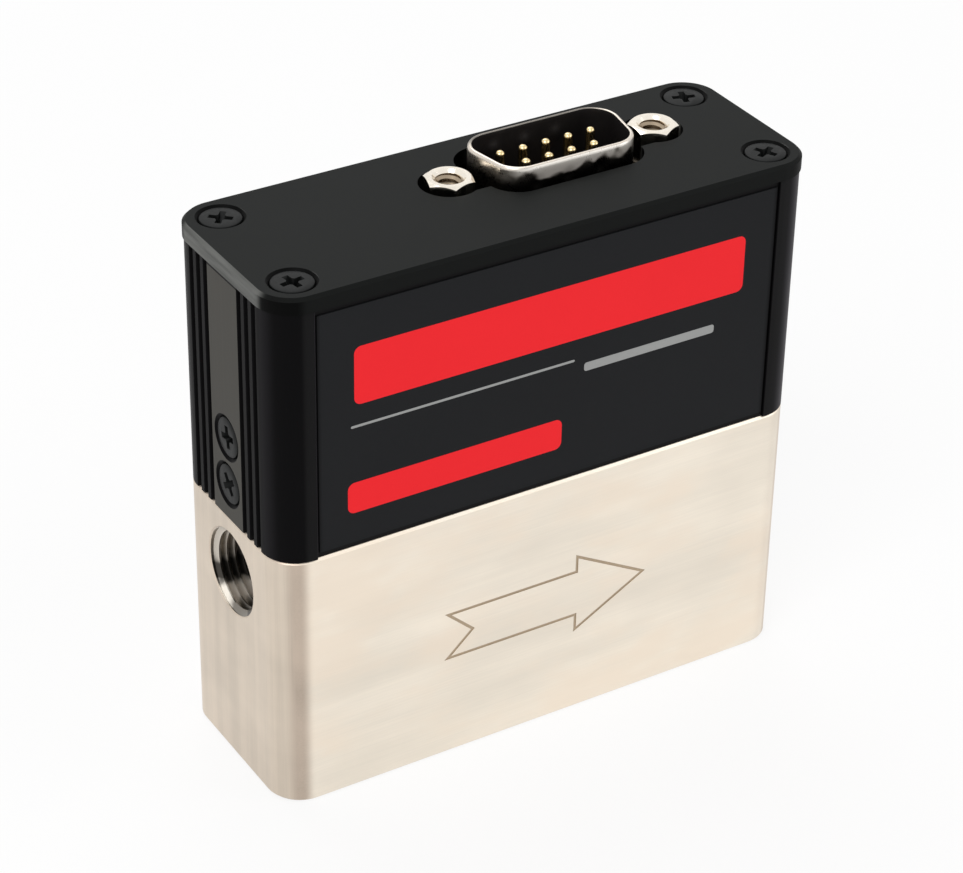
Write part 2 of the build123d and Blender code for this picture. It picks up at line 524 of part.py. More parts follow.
def valve_orings():
    z0, r_in = insert_groove()
    low = Pos(VALVE_X, 0, z0 + VALVE_CORD_R) * Torus(r_in + VALVE_CORD_R, VALVE_CORD_R)
    return [Pos(VALVE_X, 0, TUBE_Z + VALVE_CORD_R) * Torus(flange_groove(), VALVE_CORD_R), low]


def valve_plate():
    """Square plate that holds the valve tube down in its pocket."""
    body = plate(PLATE_W, PLATE_W, PLATE_R, BODY_H, PLATE_TOP, VALVE_X)
    return body - post(TUBE_R, BODY_H, PLATE_TOP, VALVE_X) - posts(SMALL_R, BODY_H, PLATE_TOP, POSTS)


def pole_piece():
    """Fixed core closing the tube, with the stud that takes the nut."""
    body = post(TUBE_BORE_R, POLE_Z, TUBE_TOP, VALVE_X) + post(STUD_R, TUBE_TOP, NUT_TOP, VALVE_X)
    return body - post(SPRING_BORE_R, POLE_Z, POLE_Z + POLE_POCKET, VALVE_X)


def plunger():
    """Moving iron core, shut on the seat as built."""
    r = TUBE_BORE_R - PLUNGER_GAP
    body = post(r, PLUNGER_Z, PLUNGER_TOP)
    body = chamfer(body.edges().group_by(Axis.Z)[0], PLUNGER_CHAMFER)
    body -= post(PAD_R, PLUNGER_Z, PLUNGER_Z + PAD_SUNK)
    body -= post(SPRING_BORE_R, PLUNGER_TOP - SPRING_SUNK, PLUNGER_TOP)
    for s in (-1, 1):
        y = (s * (r - SLOT_D), s * (r + SLOT_D))
        body -= brick((-SLOT_W / 2, SLOT_W / 2), y, (PLUNGER_Z, PLUNGER_TOP))
    return Pos(VALVE_X, 0, 0) * body


def plunger_seal():
    return post(PAD_R, LIP_Z, PLUNGER_Z + PAD_SUNK, VALVE_X)


def return_spring():
    """Coil spring between the plunger and the pole piece."""
    z0, z1 = PLUNGER_TOP - SPRING_SUNK, POLE_Z + POLE_POCKET
    path = Helix(pitch=SPRING_PITCH, height=z1 - z0 - 2 * SPRING_WIRE_R, radius=SPRING_R)
    start = Plane(origin=path @ 0, z_dir=path % 0)
    return Pos(VALVE_X, 0, z0 + SPRING_WIRE_R) * sweep(start * Circle(SPRING_WIRE_R), path=path)


def bobbin():
    body = ring(BOBBIN_R, TUBE_R, PLATE_TOP, BOBBIN_TOP, VALVE_X)
    for z in (PLATE_TOP, COIL_Z[1]):
        body += ring(CAN_IN_R, TUBE_R, z, z + BOBBIN_FLANGE_T, VALVE_X)
    return body - posts(LEAD_R, COIL_Z[1], BOBBIN_TOP, LEADS)


def coil():
    return ring(COIL_R, BOBBIN_R, *COIL_Z, VALVE_X)


def coil_leads():
    return posts(LEAD_R, COIL_Z[1], BOARD_Z0, LEADS)


def yoke_can():
    """Iron can that closes the magnetic circuit round the coil."""
    body = post(CAN_R, PLATE_TOP, CAN_TOP_Z)
    body = chamfer(body.edges().sort_by(Axis.Z)[-1], CAN_CHAMFER)
    body -= post(CAN_IN_R, PLATE_TOP, BOBBIN_TOP) + post(STUD_R, BOBBIN_TOP, CAN_TOP_Z)
    return Pos(VALVE_X, 0, 0) * body - posts(LEAD_R, BOBBIN_TOP, CAN_TOP_Z, LEADS)


def yoke_nut():
    return Pos(VALVE_X, 0, 0) * (hexagon(NUT_AF, CAN_TOP_Z, NUT_TOP) - post(STUD_R, CAN_TOP_Z, NUT_TOP))


MAKERS = [
    flow_body, housing, top_cap, cap_screws, side_screws, front_label,
    connector_shell, connector_insulator, connector_back_shell, connector_pins, jackscrews,
    connector_board, board_standoffs, board_screws, main_board, microcontroller, valve_driver,
    timing_crystal, board_capacitors, board_link, sensor_header, sensor_manifold, sensor_orings,
    sensor_board, sensor_amplifier, flow_sensor_chip, sensor_screws,
    screen_ring, inlet_screen, laminar_element, valve_seat, valve_orings, core_tube, valve_plate,
    valve_plate_screw, pole_piece, plunger, plunger_seal, return_spring, bobbin, coil, coil_leads,
    yoke_can, yoke_nut,
]


def main():
    os.makedirs("parts", exist_ok=True)
    for make in MAKERS:
        made = make()
        pieces = made if isinstance(made, list) else [made]
        solids = [solid for piece in pieces for solid in piece.solids()]
        whole = Compound(children=solids) if len(solids) > 1 else solids[0]
        export_step(whole, f"parts/{make.__name__}.step")


if __name__ == "__main__":
    main()
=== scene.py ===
"""Dresses the packed mass flow controller: its finishes, and the detail that is finer than its solids."""

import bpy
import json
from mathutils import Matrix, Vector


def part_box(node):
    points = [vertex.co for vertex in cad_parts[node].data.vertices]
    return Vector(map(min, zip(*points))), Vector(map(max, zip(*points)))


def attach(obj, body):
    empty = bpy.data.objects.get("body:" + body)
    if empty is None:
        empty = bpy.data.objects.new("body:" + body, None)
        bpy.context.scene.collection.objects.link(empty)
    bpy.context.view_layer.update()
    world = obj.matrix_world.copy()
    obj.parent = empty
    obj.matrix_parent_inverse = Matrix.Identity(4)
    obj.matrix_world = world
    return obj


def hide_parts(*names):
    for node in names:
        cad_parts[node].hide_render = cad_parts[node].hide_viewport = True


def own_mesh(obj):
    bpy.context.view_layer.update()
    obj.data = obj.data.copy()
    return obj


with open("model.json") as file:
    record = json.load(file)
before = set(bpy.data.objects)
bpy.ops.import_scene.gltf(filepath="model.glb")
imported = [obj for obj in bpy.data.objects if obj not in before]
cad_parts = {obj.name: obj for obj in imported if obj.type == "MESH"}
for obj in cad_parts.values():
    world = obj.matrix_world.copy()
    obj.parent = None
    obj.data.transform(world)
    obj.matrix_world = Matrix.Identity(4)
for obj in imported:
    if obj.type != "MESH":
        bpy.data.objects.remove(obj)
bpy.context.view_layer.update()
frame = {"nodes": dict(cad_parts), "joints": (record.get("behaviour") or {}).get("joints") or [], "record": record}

import json
import math

import bmesh
import bpy
from bpy.props import FloatProperty, FloatVectorProperty, IntProperty, PointerProperty
from mathutils import Matrix, Vector

bl_info = {
    "name": "Mass flow controller dresser",
    "version": (1, 0, 0),
    "blender": (4, 5, 0),
    "location": "3D View > Sidebar > Flow controller",
    "description": "Finishes and fine pieces of a small mass flow controller, built on its packed frame",
    "category": "Add Mesh",
}

MM = 0.001
BODY = "controller"
FLOOR_HALF = 4.0
UPRIGHT = Matrix.Rotation(math.radians(90), 4, "X")

# from here on in millimetres
BLOCK_LOW, BLOCK_HIGH = (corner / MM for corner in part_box("flow_body"))
COVER_LOW, COVER_HIGH = (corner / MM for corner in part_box("housing"))
CAP_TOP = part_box("top_cap")[1].z / MM
LABEL_LOW, LABEL_HIGH = (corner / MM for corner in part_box("front_label"))
SHELL_LOW, SHELL_HIGH = (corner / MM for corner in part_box("connector_shell"))
LOCK_TOP = (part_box("jackscrews")[1] / MM).z
PLUG_X, PLUG_Y = (SHELL_LOW.x + SHELL_HIGH.x) / 2, (SHELL_LOW.y + SHELL_HIGH.y) / 2
CAP_SCREW_X, CAP_SCREW_Y, CAP_SCREW_RUN, CAP_SINK_R = 27.9, 7.5, 9.0, 2.62
CAP_SCREWS = [(x, y) for x in (-CAP_SCREW_X, CAP_SCREW_X) for y in (-CAP_SCREW_Y, CAP_SCREW_Y)]
CAP_SCREW_TURNS = (8, 50, 27, 71)
# the housing's inner outline turns round a screw channel in each corner
CHANNEL_R, CHANNEL_SPAN, ROOM_CORNERS = 2.4, (-39.6, -228.6), ((29.75, 5.971), (26.313, 9.3))
SIDE_SCREWS = [(side, z, turn) for side in (-1, 1) for z, turn in ((34.5, 35), (40.1, 10))]
SIDE_SCREW_RUN, SIDE_SINK_R, SCREW_R = 6.0, 2.6, 1.25
LOCK_X, LOCK_STUD_R, LOCK_BORE_R, LOCK_RUN = 12.495, 1.62, 1.42, 4.15
# the second number is how far below the housing's top the pale strip stops: a painted shadow line under the cap
STRIP_HALF, CAP_SHADOW_LINE, DENTS_X = 3.12, 0.42, (-4.7, -0.9, 2.9)
# middle, width, height and corner radius of each printed shape
BANDS = ((0.2, 50.4, 46.6, 6.6, 0.8), (-11.25, 36.3, 25.3, 3.6, 0.8))
RULES = ((-10.4, 44.65, 26.2, 0.28, 0.13, 3), (12.0, 43.5, 16.2, 1.0, 0.3))


# -------- properties


def length(name, text, millimetres):
    """Length property with its default in millimetres."""
    return FloatProperty(name=name, description=text, default=millimetres * MM, unit="LENGTH", precision=5)


def angle(name, text, degrees):
    return FloatProperty(name=name, description=text, default=math.radians(degrees), unit="ROTATION")


def share(name, text, value):
    return FloatProperty(name=name, description=text, default=value, min=0.0, max=1.0, subtype="FACTOR")


def tint(name, place, *rgb):
    text = "Colour of the " + place
    return FloatVectorProperty(name=name, description=text, default=rgb, min=0.0, max=1.0, subtype="COLOR")


class FLOWCTL_PG_block(bpy.types.PropertyGroup):
    """Steel block."""

    steel: tint("Steel", "brushed front and back", 0.87, 0.795, 0.685)
    # ends: painted shade, a darker copy of the steel for the end faces
    ends: tint("Ends", "milled ends", 0.645, 0.560, 0.465)
    # corner: painted shade, a darker band on each upright corner
    corner: tint("Corner", "duller band on each upright corner", 0.500, 0.415, 0.340)
    roughness: share("Roughness", "How matt the brushed faces are", 0.40)
    grain: share("Grain", "How strong the brush marks are", 0.20)


class FLOWCTL_PG_arrow(bpy.types.PropertyGroup):
    """Flow arrow cut into the front of the block."""

    tail: length("Tail", "Tail corners, from the middle of the block", -12.1)
    notch: length("Notch", "Inner corner of the tail", -9.05)
    neck: length("Neck", "Where the head starts", 3.9)
    tip: length("Tip", "Point of the arrow", 12.5)
    height: length("Height", "Middle of the arrow above the base", 15.3)
    shaft: length("Shaft", "Half the width of the shaft", 2.8)
    head: length("Head", "Half the width of the head", 4.75)
    line: length("Line", "Width of the engraved line", 0.32)
    depth: length("Depth", "Depth of the engraved line", 0.08)
    stain: tint("Stain", "bottom of the line", 0.47, 0.37, 0.26)


class FLOWCTL_PG_thread(bpy.types.PropertyGroup):
    """Threads in the ports and the screw locks."""

    port_pitch: length("Port pitch", "From turn to turn of the port thread", 0.907)
    port_crest: length("Port crest", "Height of the port thread", 0.56)
    port_length: length("Port length", "Length of the port thread", 7.8)
    lock_pitch: length("Lock pitch", "From turn to turn of a screw lock's thread", 0.635)
    lock_crest: length("Lock crest", "Height of a screw lock's thread", 0.3)
    steps: IntProperty(name="Steps", description="Points round one turn", default=72, min=16)


class FLOWCTL_PG_cover(bpy.types.PropertyGroup):
    """Housing, cap and their screws."""

    black: tint("Black", "anodised housing", 0.0022, 0.0020, 0.0024)
    # face: painted light, a lighter tone of the same anodising for the long flat faces than for the corners
    face: tint("Face", "housing's long flat faces", 0.0082, 0.0080, 0.0084)
    strip: tint("Strip", "flat strip on each end", 0.074, 0.071, 0.064)
    cap: tint("Cap", "anodised cap", 0.0094, 0.0103, 0.0099)
    # cap_end: painted light, a paler grey for the cap's two end faces
    cap_end: tint("Cap ends", "worn ends of the cap", 0.118, 0.120, 0.114)
    screw: tint("Screw", "blackened screws", 0.0095, 0.0102, 0.0102)
    roughness: share("Roughness", "How matt the anodised metal is", 0.46)
    edge: length("Edge break", "Size of the small bevels on the grooves", 0.07)
    groove_start: length("First groove", "Middle of the first groove from the middle of the end", 3.55)
    groove_pitch: length("Groove pitch", "From groove to groove", 1.52)
    groove_width: length("Groove width", "Width of a groove", 0.75)
    groove_depth: length("Groove depth", "Depth of a groove", 0.6)
    recess_width: length("Recess width", "Width of the shallow recess in each long face", 54.8)
    recess_depth: length("Recess depth", "Depth of that recess", 0.35)
    corner: length("Corner", "Radius of the upright corners", 3.9)


class FLOWCTL_PG_label(bpy.types.PropertyGroup):
    """Front label and its plain bands."""

    film: tint("Film", "label film", 0.0140, 0.0145, 0.0158)
    band: tint("Band", "plain bands", 0.90, 0.024, 0.031)
    rule: tint("Rule", "thin rules", 0.33, 0.335, 0.33)
    ink: length("Ink", "Thickness of the print", 0.012)


class FLOWCTL_PG_plug(bpy.types.PropertyGroup):
    """Nine-way connector."""

    nickel: tint("Nickel", "plated shell", 0.70, 0.635, 0.555)
    bright: tint("Bright", "screw locks", 0.86, 0.80, 0.70)
    # inside: painted shade, a near-black copy of the nickel for the shell's inner wall
    inside: tint("Inside", "inside of the shell", 0.012, 0.010, 0.010)
    gold: tint("Gold", "pins", 0.76, 0.60, 0.33)
    moulding: tint("Moulding", "block that holds the pins", 0.006, 0.006, 0.007)
    wall: length("Wall", "Thickness of the shell", 0.45)
    inner_width: length("Inner width", "Width inside the shell", 16.92)
    inner_height: length("Inner height", "Height of the outline inside the shell", 8.36)
    corner: length("Corner", "Inner corner radius of the shell", 2.6)
    slope: angle("Slope", "Lean of the two short sides", 10.0)
    crown: length("Crown", "Height of the rounded outer edge of the rim", 0.5)
    dent_depth: length("Dent depth", "Depth of the grip dents in the shell", 0.3)
    dent_size: length("Dent size", "Radius of a grip dent", 1.05)


class FLOWCTL_PG_spring(bpy.types.PropertyGroup):
    """Valve spring."""

    wire: length("Wire", "Radius of the spring's wire", 0.2)
    coil: length("Coil", "Radius of the spring to the middle of its wire", 1.25)
    turns: FloatProperty(name="Turns", description="Turns of the spring", default=8.5, min=3.0)


class FLOWCTL_PG_stage(bpy.types.PropertyGroup):
    """Camera, floor and lamps."""

    azimuth: angle("Azimuth", "Camera's turn round the object, from looking along +Y", -31.897)
    elevation: angle("Elevation", "Camera's height above the horizon", 32.102)
    roll: angle("Roll", "Camera's roll", 1.114)
    distance: length("Distance", "From the camera to its aim point", 326.53)
    aim: length("Aim height", "Height of that point", 30.137)
    slide: length("Slide", "Camera's shift to its right", -1.296)
    lift: length("Lift", "Camera's shift upwards", 0.191)
    lens: FloatProperty(name="Lens", description="Focal length in mm", default=114.094, unit="CAMERA")
    floor: tint("Floor", "floor", 0.93, 0.93, 0.93)
    sky: FloatProperty(name="Sky", description="Strength of the even light all round", default=0.55, min=0.0)


# -------- shading


# sockets that a finish's wiring feeds, in order
VARIED = ("Base Color", "Roughness", "Normal", "Metallic")


def maths(operation):
    """Method for one kind of maths between a signal and what it meets."""
    return lambda *values: values[0].math(operation, *values)


class Signal:
    """A shader socket used in an expression."""

    def __init__(self, tree, socket=None):
        self.tree, self.socket = tree, socket

    def node(self, kind, settings=None, inputs=None, out=0):
        """Adds a node: its settings, then the value or link of each socket."""
        made = self.tree.nodes.new("ShaderNode" + kind)
        for key, value in (settings or {}).items():
            setattr(made, key, value)
        for key, value in (inputs or {}).items():
            if isinstance(value, Signal):
                self.tree.links.new(value.socket, made.inputs[key])
            else:
                made.inputs[key].default_value = value
        return Signal(self.tree, made.outputs[out])

    def math(self, operation, *values, clamp=False):
        return self.node("Math", {"operation": operation, "use_clamp": clamp}, dict(enumerate(values)))

    __add__, __sub__, __mul__ = maths("ADD"), maths("SUBTRACT"), maths("MULTIPLY")
    __lt__, __gt__, __abs__ = maths("LESS_THAN"), maths("GREATER_THAN"), maths("ABSOLUTE")
    __radd__, __rmul__ = __add__, __mul__

    def __rsub__(self, other):
        return self.math("SUBTRACT", other, self)

    def blend(self, low, high):
        """Number between two, with this signal as the share of the second."""
        return low * (1 - self) + high * self

    def mix(self, low, high):
        """Colour between two, with this signal as the share of the second."""
        ends = [end if isinstance(end, Signal) else (*end, 1.0) for end in (low, high)]
        return self.node("Mix", {"data_type": "RGBA"}, {0: self, 6: ends[0], 7: ends[1]}, 2)

    def tones(self, rgb, low, high):
        """Colour between two shades of one colour, each given as its factor."""
        return self.mix(scaled(rgb, low), scaled(rgb, high))

    def ramp(self, low, high):
        """0 below the first value, 1 above the second, smooth between."""
        return self.node("MapRange", {"interpolation_type": "SMOOTHSTEP"}, {0: self, 1: low, 2: high})

    def place(self):
        """Position on the piece, in metres."""
        return self.node("TexCoord", out="Object")

    def facing(self):
        return self.node("NewGeometry", out="Normal")

    def along(self, axis):
        """One coordinate of a position or a direction."""
        return self.node("SeparateXYZ", None, {0: self}, axis)

    def noise(self, scale, detail=2.0, roughness=0.5):
        """Noise at this position; three scales stretch it along X, Y and Z."""
        triple = scale if isinstance(scale, tuple) else (scale,) * 3
        spread = self.node("VectorMath", {"operation": "MULTIPLY"}, {0: self, 1: triple})
        sockets = {"Vector": spread, "Scale": 1.0, "Detail": detail, "Roughness": roughness}
        return self.node("TexNoise", None, sockets, "Fac")

    def relief(self, strength, depth):
        """Bump with this signal as its height, depth in millimetres."""
        sockets = {"Strength": strength, "Distance": depth * MM, "Height": self}
        return self.node("Bump", None, sockets, "Normal")


def finish(name, wiring, **constants):
    """Material on one Principled shader: constants on its sockets, and wiring for what varies."""
    material = bpy.data.materials.new(name)
    material.use_nodes = True
    tree = material.node_tree
    shader = next(n for n in tree.nodes if n.type == "BSDF_PRINCIPLED")
    for key, value in constants.items():
        shader.inputs[key.replace("_", " ").title().replace("Ior", "IOR")].default_value = value
    for key, signal in zip(VARIED, wiring(Signal(tree).place())):
        tree.links.new(signal.socket, shader.inputs[key])
    return material


def scaled(rgb, factor):
    return tuple(min(1.0, level * factor) for level in rgb)


def worked(name, rgb, roughness, grain, tone, wear, strength, depth, **constants):
    """Finish with a grain of its own direction, clouded tone and clouded gloss."""

    def wiring(at):
        fine = at.noise(grain, 3.0)
        cloud = at.noise(140, 3.0)
        shade = fine * 0.5 + cloud * 0.5
        return (
            shade.tones(rgb, 1 - tone, 1 + tone),
            (fine + cloud) * wear + (roughness - wear),
            fine.relief(strength, depth),
        )

    return finish(name, wiring, **constants)


def brushed_steel(props):
    """Satin block: brushed along its front, up its ends, with painted shade: darker ends and a darker band on each
    upright corner, weaker on the +X corners.
    """
    rgb = props.steel

    def wiring(at):
        facing = at.facing()
        endwise = abs(facing.along("X"))
        on_end = endwise.ramp(0.50, 0.62)
        lengthwise = at.noise((70, 9000, 5200), 4.0, 0.65)
        upright = at.noise((5200, 5200, 90), 4.0, 0.65)
        brush = on_end.blend(lengthwise, upright)
        coarse = on_end.blend(at.noise((14, 400, 200), 3.0), at.noise((400, 400, 16), 3.0))
        cloud = at.noise((55, 55, 110), 3.0)
        shade = (brush * 0.20 + coarse * 0.35 + cloud * 0.45).ramp(0.32, 0.68)
        body = shade.tones(rgb, 0.905, 1.08)
        warm = at.noise((60, 60, 130), 3.0, 0.6).ramp(0.42, 0.66)
        body = (warm * 0.6).mix(body, (rgb[0], rgb[1] * 0.945, rgb[2] * 0.905))
        # painted shade: the end faces get a darker copy of the steel
        shaded_ends = shade.tones(props.ends, 0.88, 1.14)
        # painted shade: a darker band round each upright corner, weaker on the +X corners
        band = shade.tones(props.corner, 0.86, 1.16)
        corner = endwise.ramp(0.05, 0.40) * (1 - endwise.ramp(0.52, 0.78))
        corner = corner * (at.along("X") > 0).blend(1.0, 0.15)
        return (
            corner.mix(on_end.mix(body, shaded_ends), band),
            brush * 0.16 + cloud * 0.08 + (props.roughness - 0.12),
            (brush + coarse * 0.6).relief(props.grain, 0.02),
        )

    return finish("brushed_steel", wiring, metallic=0.9)


def anodised_black(props):
    """Black anodised cover: drawn ends with a paler strip that stops in a painted shadow line under the cap,
    painted light on its long flat faces and painted highlights on its corners.
    """
    black, face, strip = props.black, props.face, props.strip

    def wiring(at):
        facing = at.facing()
        right = facing.along("X")
        endwise = abs(right)
        on_strip = endwise.ramp(0.80, 0.95) * (abs(at.along("Y")) < STRIP_HALF * MM)
        # the pale strip stops short of the cap: a painted shadow line under the cap's edge
        on_strip = on_strip * (at.along("Z") < (COVER_HIGH.z - CAP_SHADOW_LINE) * MM)
        drawn = at.noise((6500, 6500, 45), 3.0, 0.6)
        fine = at.noise(4200)
        cloud = at.noise((90, 90, 60), 3.0)
        shade = drawn * 0.5 + cloud * 0.5
        # painted light and shade: the long flat faces get a lighter tone than the corners
        flat = abs(facing.along("Y")).ramp(0.96, 0.995)
        # painted highlight: a soft lighter band on each upright corner
        soft = endwise.ramp(0.80, 0.97) * (1 - endwise.ramp(0.985, 0.999))
        corner = soft.mix(shade.tones(black, 0.8, 1.25), scaled(black, 3.6))
        # painted highlight: a bright glint on the +X corners
        glint = right.ramp(0.10, 0.80) * (1 - right.ramp(0.90, 0.99))
        corner = glint.mix(corner, scaled(black, 15.0))
        dark = flat.mix(corner, shade.tones(face, 0.85, 1.2))
        pale = shade.tones(strip, 0.82, 1.2)
        return (
            on_strip.mix(dark, pale),
            cloud * 0.12 + on_strip * 0.10 + (props.roughness - 0.08),
            (drawn * 0.7 + fine * 0.5).relief(0.18, 0.012),
        )

    return finish("anodised_black", wiring, specular_ior_level=0.045, sheen_weight=0.05, sheen_roughness=0.20)


def anodised_cap(props):
    """Bead-blasted black anodised cap: painted light on its two ends, painted shade on its long sides and corners,
    and a painted shadow in its screw sinks.
    """
    black = props.cap

    def wiring(at):
        facing = at.facing()
        endwise, sidewise = abs(facing.along("X")), abs(facing.along("Y"))
        blast = at.noise(5200)
        cloud = at.noise((45, 90, 90), 3.0)
        body = (blast * 0.4 + cloud * 0.6).tones(black, 0.8, 1.25)
        # painted light: the two end faces get a paler streaked grey
        ends = endwise.ramp(0.60, 0.70) * (1 - sidewise.ramp(0.05, 0.30))
        # painted shade: the long side faces darker, the rounded corners near black
        body = (sidewise.ramp(0.5, 0.8) * 0.6).mix(body, scaled(black, 0.35))
        body = (endwise * sidewise).ramp(0.08, 0.35).mix(body, scaled(black, 0.06))
        streak = at.noise((700, 90, 1500), 3.0).ramp(0.30, 0.70)
        painted_bright = streak.tones(props.cap_end, 0.72, 1.30)
        # painted shadow in the four screw sinks
        screw_x, screw_y = abs(at.along("X")) - CAP_SCREW_X * MM, abs(at.along("Y")) - CAP_SCREW_Y * MM
        sink_shade = (screw_x * screw_x + screw_y * screw_y) < (CAP_SINK_R * MM) ** 2
        sink_shade = sink_shade * (at.along("Z") < (CAP_TOP - 0.02) * MM)
        return (
            sink_shade.mix(ends.mix(body, painted_bright), scaled(black, 0.1)),
            cloud * 0.10 + blast * 0.06 + (props.roughness - 0.04),
            blast.relief(0.22, 0.012),
        )

    return finish("anodised_cap", wiring, specular_ior_level=0.05)


def label_film(props):
    """Film with a fine velvet texture, and a painted shadow line along its two upright edges."""
    film = props.film
    half = (LABEL_HIGH.x - LABEL_LOW.x) / 2 * MM

    def wiring(at):
        velvet = at.noise(7000)
        cloud = at.noise(60)
        # painted shade: a dark line along the film's two upright edges
        edge = abs(at.along("X")).ramp(half - 0.45 * MM, half)
        body = (velvet * 0.4 + cloud * 0.6).tones(film, 0.86, 1.16)
        return (
            (edge * 0.7).mix(body, scaled(film, 0.3)),
            velvet * 0.08 + cloud * 0.06 + 0.38,
            velvet.relief(0.12, 0.01),
        )

    return finish("label_film", wiring, specular_ior_level=0.05)


def plated(name, rgb, roughness):
    """Bright plating with faint rolling marks and a few duller patches."""
    return worked(name, rgb, roughness, (2400, 2400, 500), 0.10, 0.08, 0.12, 0.012, metallic=1.0)


def turned(name, rgb, roughness, grain, tone=0.1):
    """Bare metal with tool marks along one axis."""
    return worked(name, rgb, roughness, grain, tone, 0.1, 0.2, 0.02, metallic=1.0)


def shell_plate(props):
    """Nickel plate: a painted highlight above an uneven edge on the front wall with painted shade below it,
    painted shade at the foot, and painted shade on the far rim.
    """
    rgb = props.nickel

    def wiring(at):
        facing = at.facing()
        rolled = at.noise(1500, 3.0)
        cloud = at.noise(300)
        height = at.along("Z") * (1 / MM) - CAP_TOP
        # painted shade: darker towards the foot, just above the cap
        above_foot_shade = (height + (cloud - 0.5) * 0.5).ramp(-0.1, 1.1)
        body = (rolled * 0.5 + cloud * 0.5).tones(rgb, 0.88, 1.12)
        # painted highlight: a pale band on the front wall above an uneven edge, less metallic so it takes up
        # diffuse light; painted shade below it
        front = (facing.along("Y") * -1.0).ramp(0.55, 0.95)
        pale = (height + (cloud - 0.5) * 4.5).ramp(1.0, 1.6) * front
        shaded = front * (1 - pale)
        # painted shade on the far rim
        far = at.along("Y").ramp((PLUG_Y + 2.4) * MM, (PLUG_Y + 3.8) * MM)
        light = height.ramp(1.0, 2.3).mix((0.60, 0.56, 0.51), (0.96, 0.92, 0.85))
        tone = pale.mix(above_foot_shade.mix(scaled(rgb, 0.10), body), light)
        return (
            (far * 0.8).mix((shaded * 0.85).mix(tone, scaled(rgb, 0.03)), scaled(rgb, 0.12)),
            rolled * 0.10 + cloud * 0.08 + 0.19,
            rolled.relief(0.08, 0.010),
            1 - pale * 0.6,
        )

    return finish("nickel_plate", wiring)


def threaded_steel(name, rgb, middle):
    """Cut thread with painted light: a painted shadow band below the port's middle, a painted highlight under it,
    and painted shade at the foot, deeper in and round the mouth.
    """

    def wiring(at):
        fine = at.noise((5000, 900, 900), 3.0)
        cloud = at.noise((230, 420, 420), 3.0)
        blot = (cloud - 0.5) * 2.6
        height = (at.along("Z") - middle * MM) * (1 / MM) + blot
        across = at.along("Y") * (1 / MM) + blot
        # painted light and shade, placed by height and side in the port
        lower = 1 - height.ramp(-4.0, -3.1)
        shade_belt = (1 - lower) * (1 - height.ramp(-1.2, -0.1))
        side = across.ramp(0.1, 1.4)
        foot, lit = lower * (1 - side), lower * side
        # painted shade round the mouth and deeper in the bore; the lit patch is a painted highlight
        mouth = abs(at.along("X")).ramp((BLOCK_HIGH.x - 1.2) * MM, (BLOCK_HIGH.x - 0.6) * MM)
        deep = 1 - abs(at.along("X")).ramp((BLOCK_HIGH.x - 2.6) * MM, (BLOCK_HIGH.x - 0.4) * MM)
        body = (fine * 0.5 + cloud * 0.5).tones(rgb, 0.8, 1.2)
        body = (foot * 0.8).mix((mouth * 0.45).mix(body, scaled(rgb, 0.45)), scaled(rgb, 0.2))
        body = (shade_belt * 0.94).mix((deep * 0.25).mix(body, scaled(rgb, 0.3)), scaled(rgb, 0.05))
        return (
            lit.mix(body, mouth.mix((0.50, 0.45, 0.39), (1.0, 0.94, 0.84))),
            fine * 0.12 + cloud * 0.10 + lit * 0.15 + 0.22,
            fine.relief(0.2, 0.02),
            1 - lit * 0.5,
        )

    return finish(name, wiring)


def board_mask(green):
    """Circuit board: solder mask over faint copper tracks."""

    def wiring(at):
        bricks = {"Vector": at, "Scale": 420.0, "Mortar Size": 0.06}
        cells = at.node("TexBrick", {"offset": 0.5}, bricks, "Fac")
        weave = at.noise(3000)
        body = weave.tones(green, 0.8, 1.2)
        return (
            (cells * 0.35).mix(body, scaled(green, 2.0)),
            weave * 0.1 + 0.28,
            (cells + weave * 0.3).relief(0.2, 0.02),
        )

    return finish("board_mask", wiring)


def wound_copper(rgb):
    """Enamelled wire laid turn on turn."""

    def wiring(at):
        waves = {"Vector": at, "Scale": 950.0, "Distortion": 0.4}
        turns = at.node("TexWave", {"bands_direction": "Z"}, waves)
        level = turns.node("SeparateColor", None, {0: turns})
        fine = at.noise((700, 700, 4000))
        return (
            # painted shade between the turns of wire
            (level * 0.7 + fine * 0.3).mix(scaled(rgb, 0.45), rgb),
            fine * 0.15 + 0.22,
            level.relief(0.5, 0.05),
        )

    return finish("wound_copper", wiring, metallic=1.0, coat_weight=0.3)


# -------- geometry


def cad(name):
    """A packed node, or an error that names it."""
    if name not in frame["nodes"]:
        raise RuntimeError(f"the packed model has no node named {name}")
    return frame["nodes"][name]


def dress(material, *names):
    """Gives packed nodes a material."""
    for name in names:
        solid = cad(name)
        if not solid.material_slots:
            solid.data.materials.append(material)
        for spot in solid.material_slots:
            spot.material = material


def linked(name, data):
    """New object in the scene."""
    made = bpy.data.objects.new(name, data)
    bpy.context.scene.collection.objects.link(made)
    return made


def piece(name, mesh, material=None, crease=32.0, replaces=None):
    """Links a mesh as a piece of the object, shaded smooth up to its creases."""
    weld(mesh, 1e-7, 1e-8)
    mesh.name = name
    for polygon in mesh.polygons:
        polygon.use_smooth = True
    mesh.set_sharp_from_angle(angle=math.radians(crease))
    if material:
        mesh.materials.clear()
        mesh.materials.append(material)
    made = linked(name, mesh)
    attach(made, BODY)
    if replaces:
        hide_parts(replaces)
    return made


def sizes(props, *names):
    """Length properties in millimetres."""
    return [getattr(props, name) / MM for name in names]


def mesh_of(points, faces):
    """Mesh from points in millimetres."""
    mesh = bpy.data.meshes.new("draft")
    mesh.from_pydata([Vector(p) * MM for p in points], [], faces)
    return mesh


def copied(name):
    """Plain mesh with a packed node's shape."""
    solid = cad(name).data
    mesh = bpy.data.meshes.new("draft")
    mesh.from_pydata([v.co for v in solid.vertices], [], [tuple(p.vertices) for p in solid.polygons])
    weld(mesh)
    return mesh


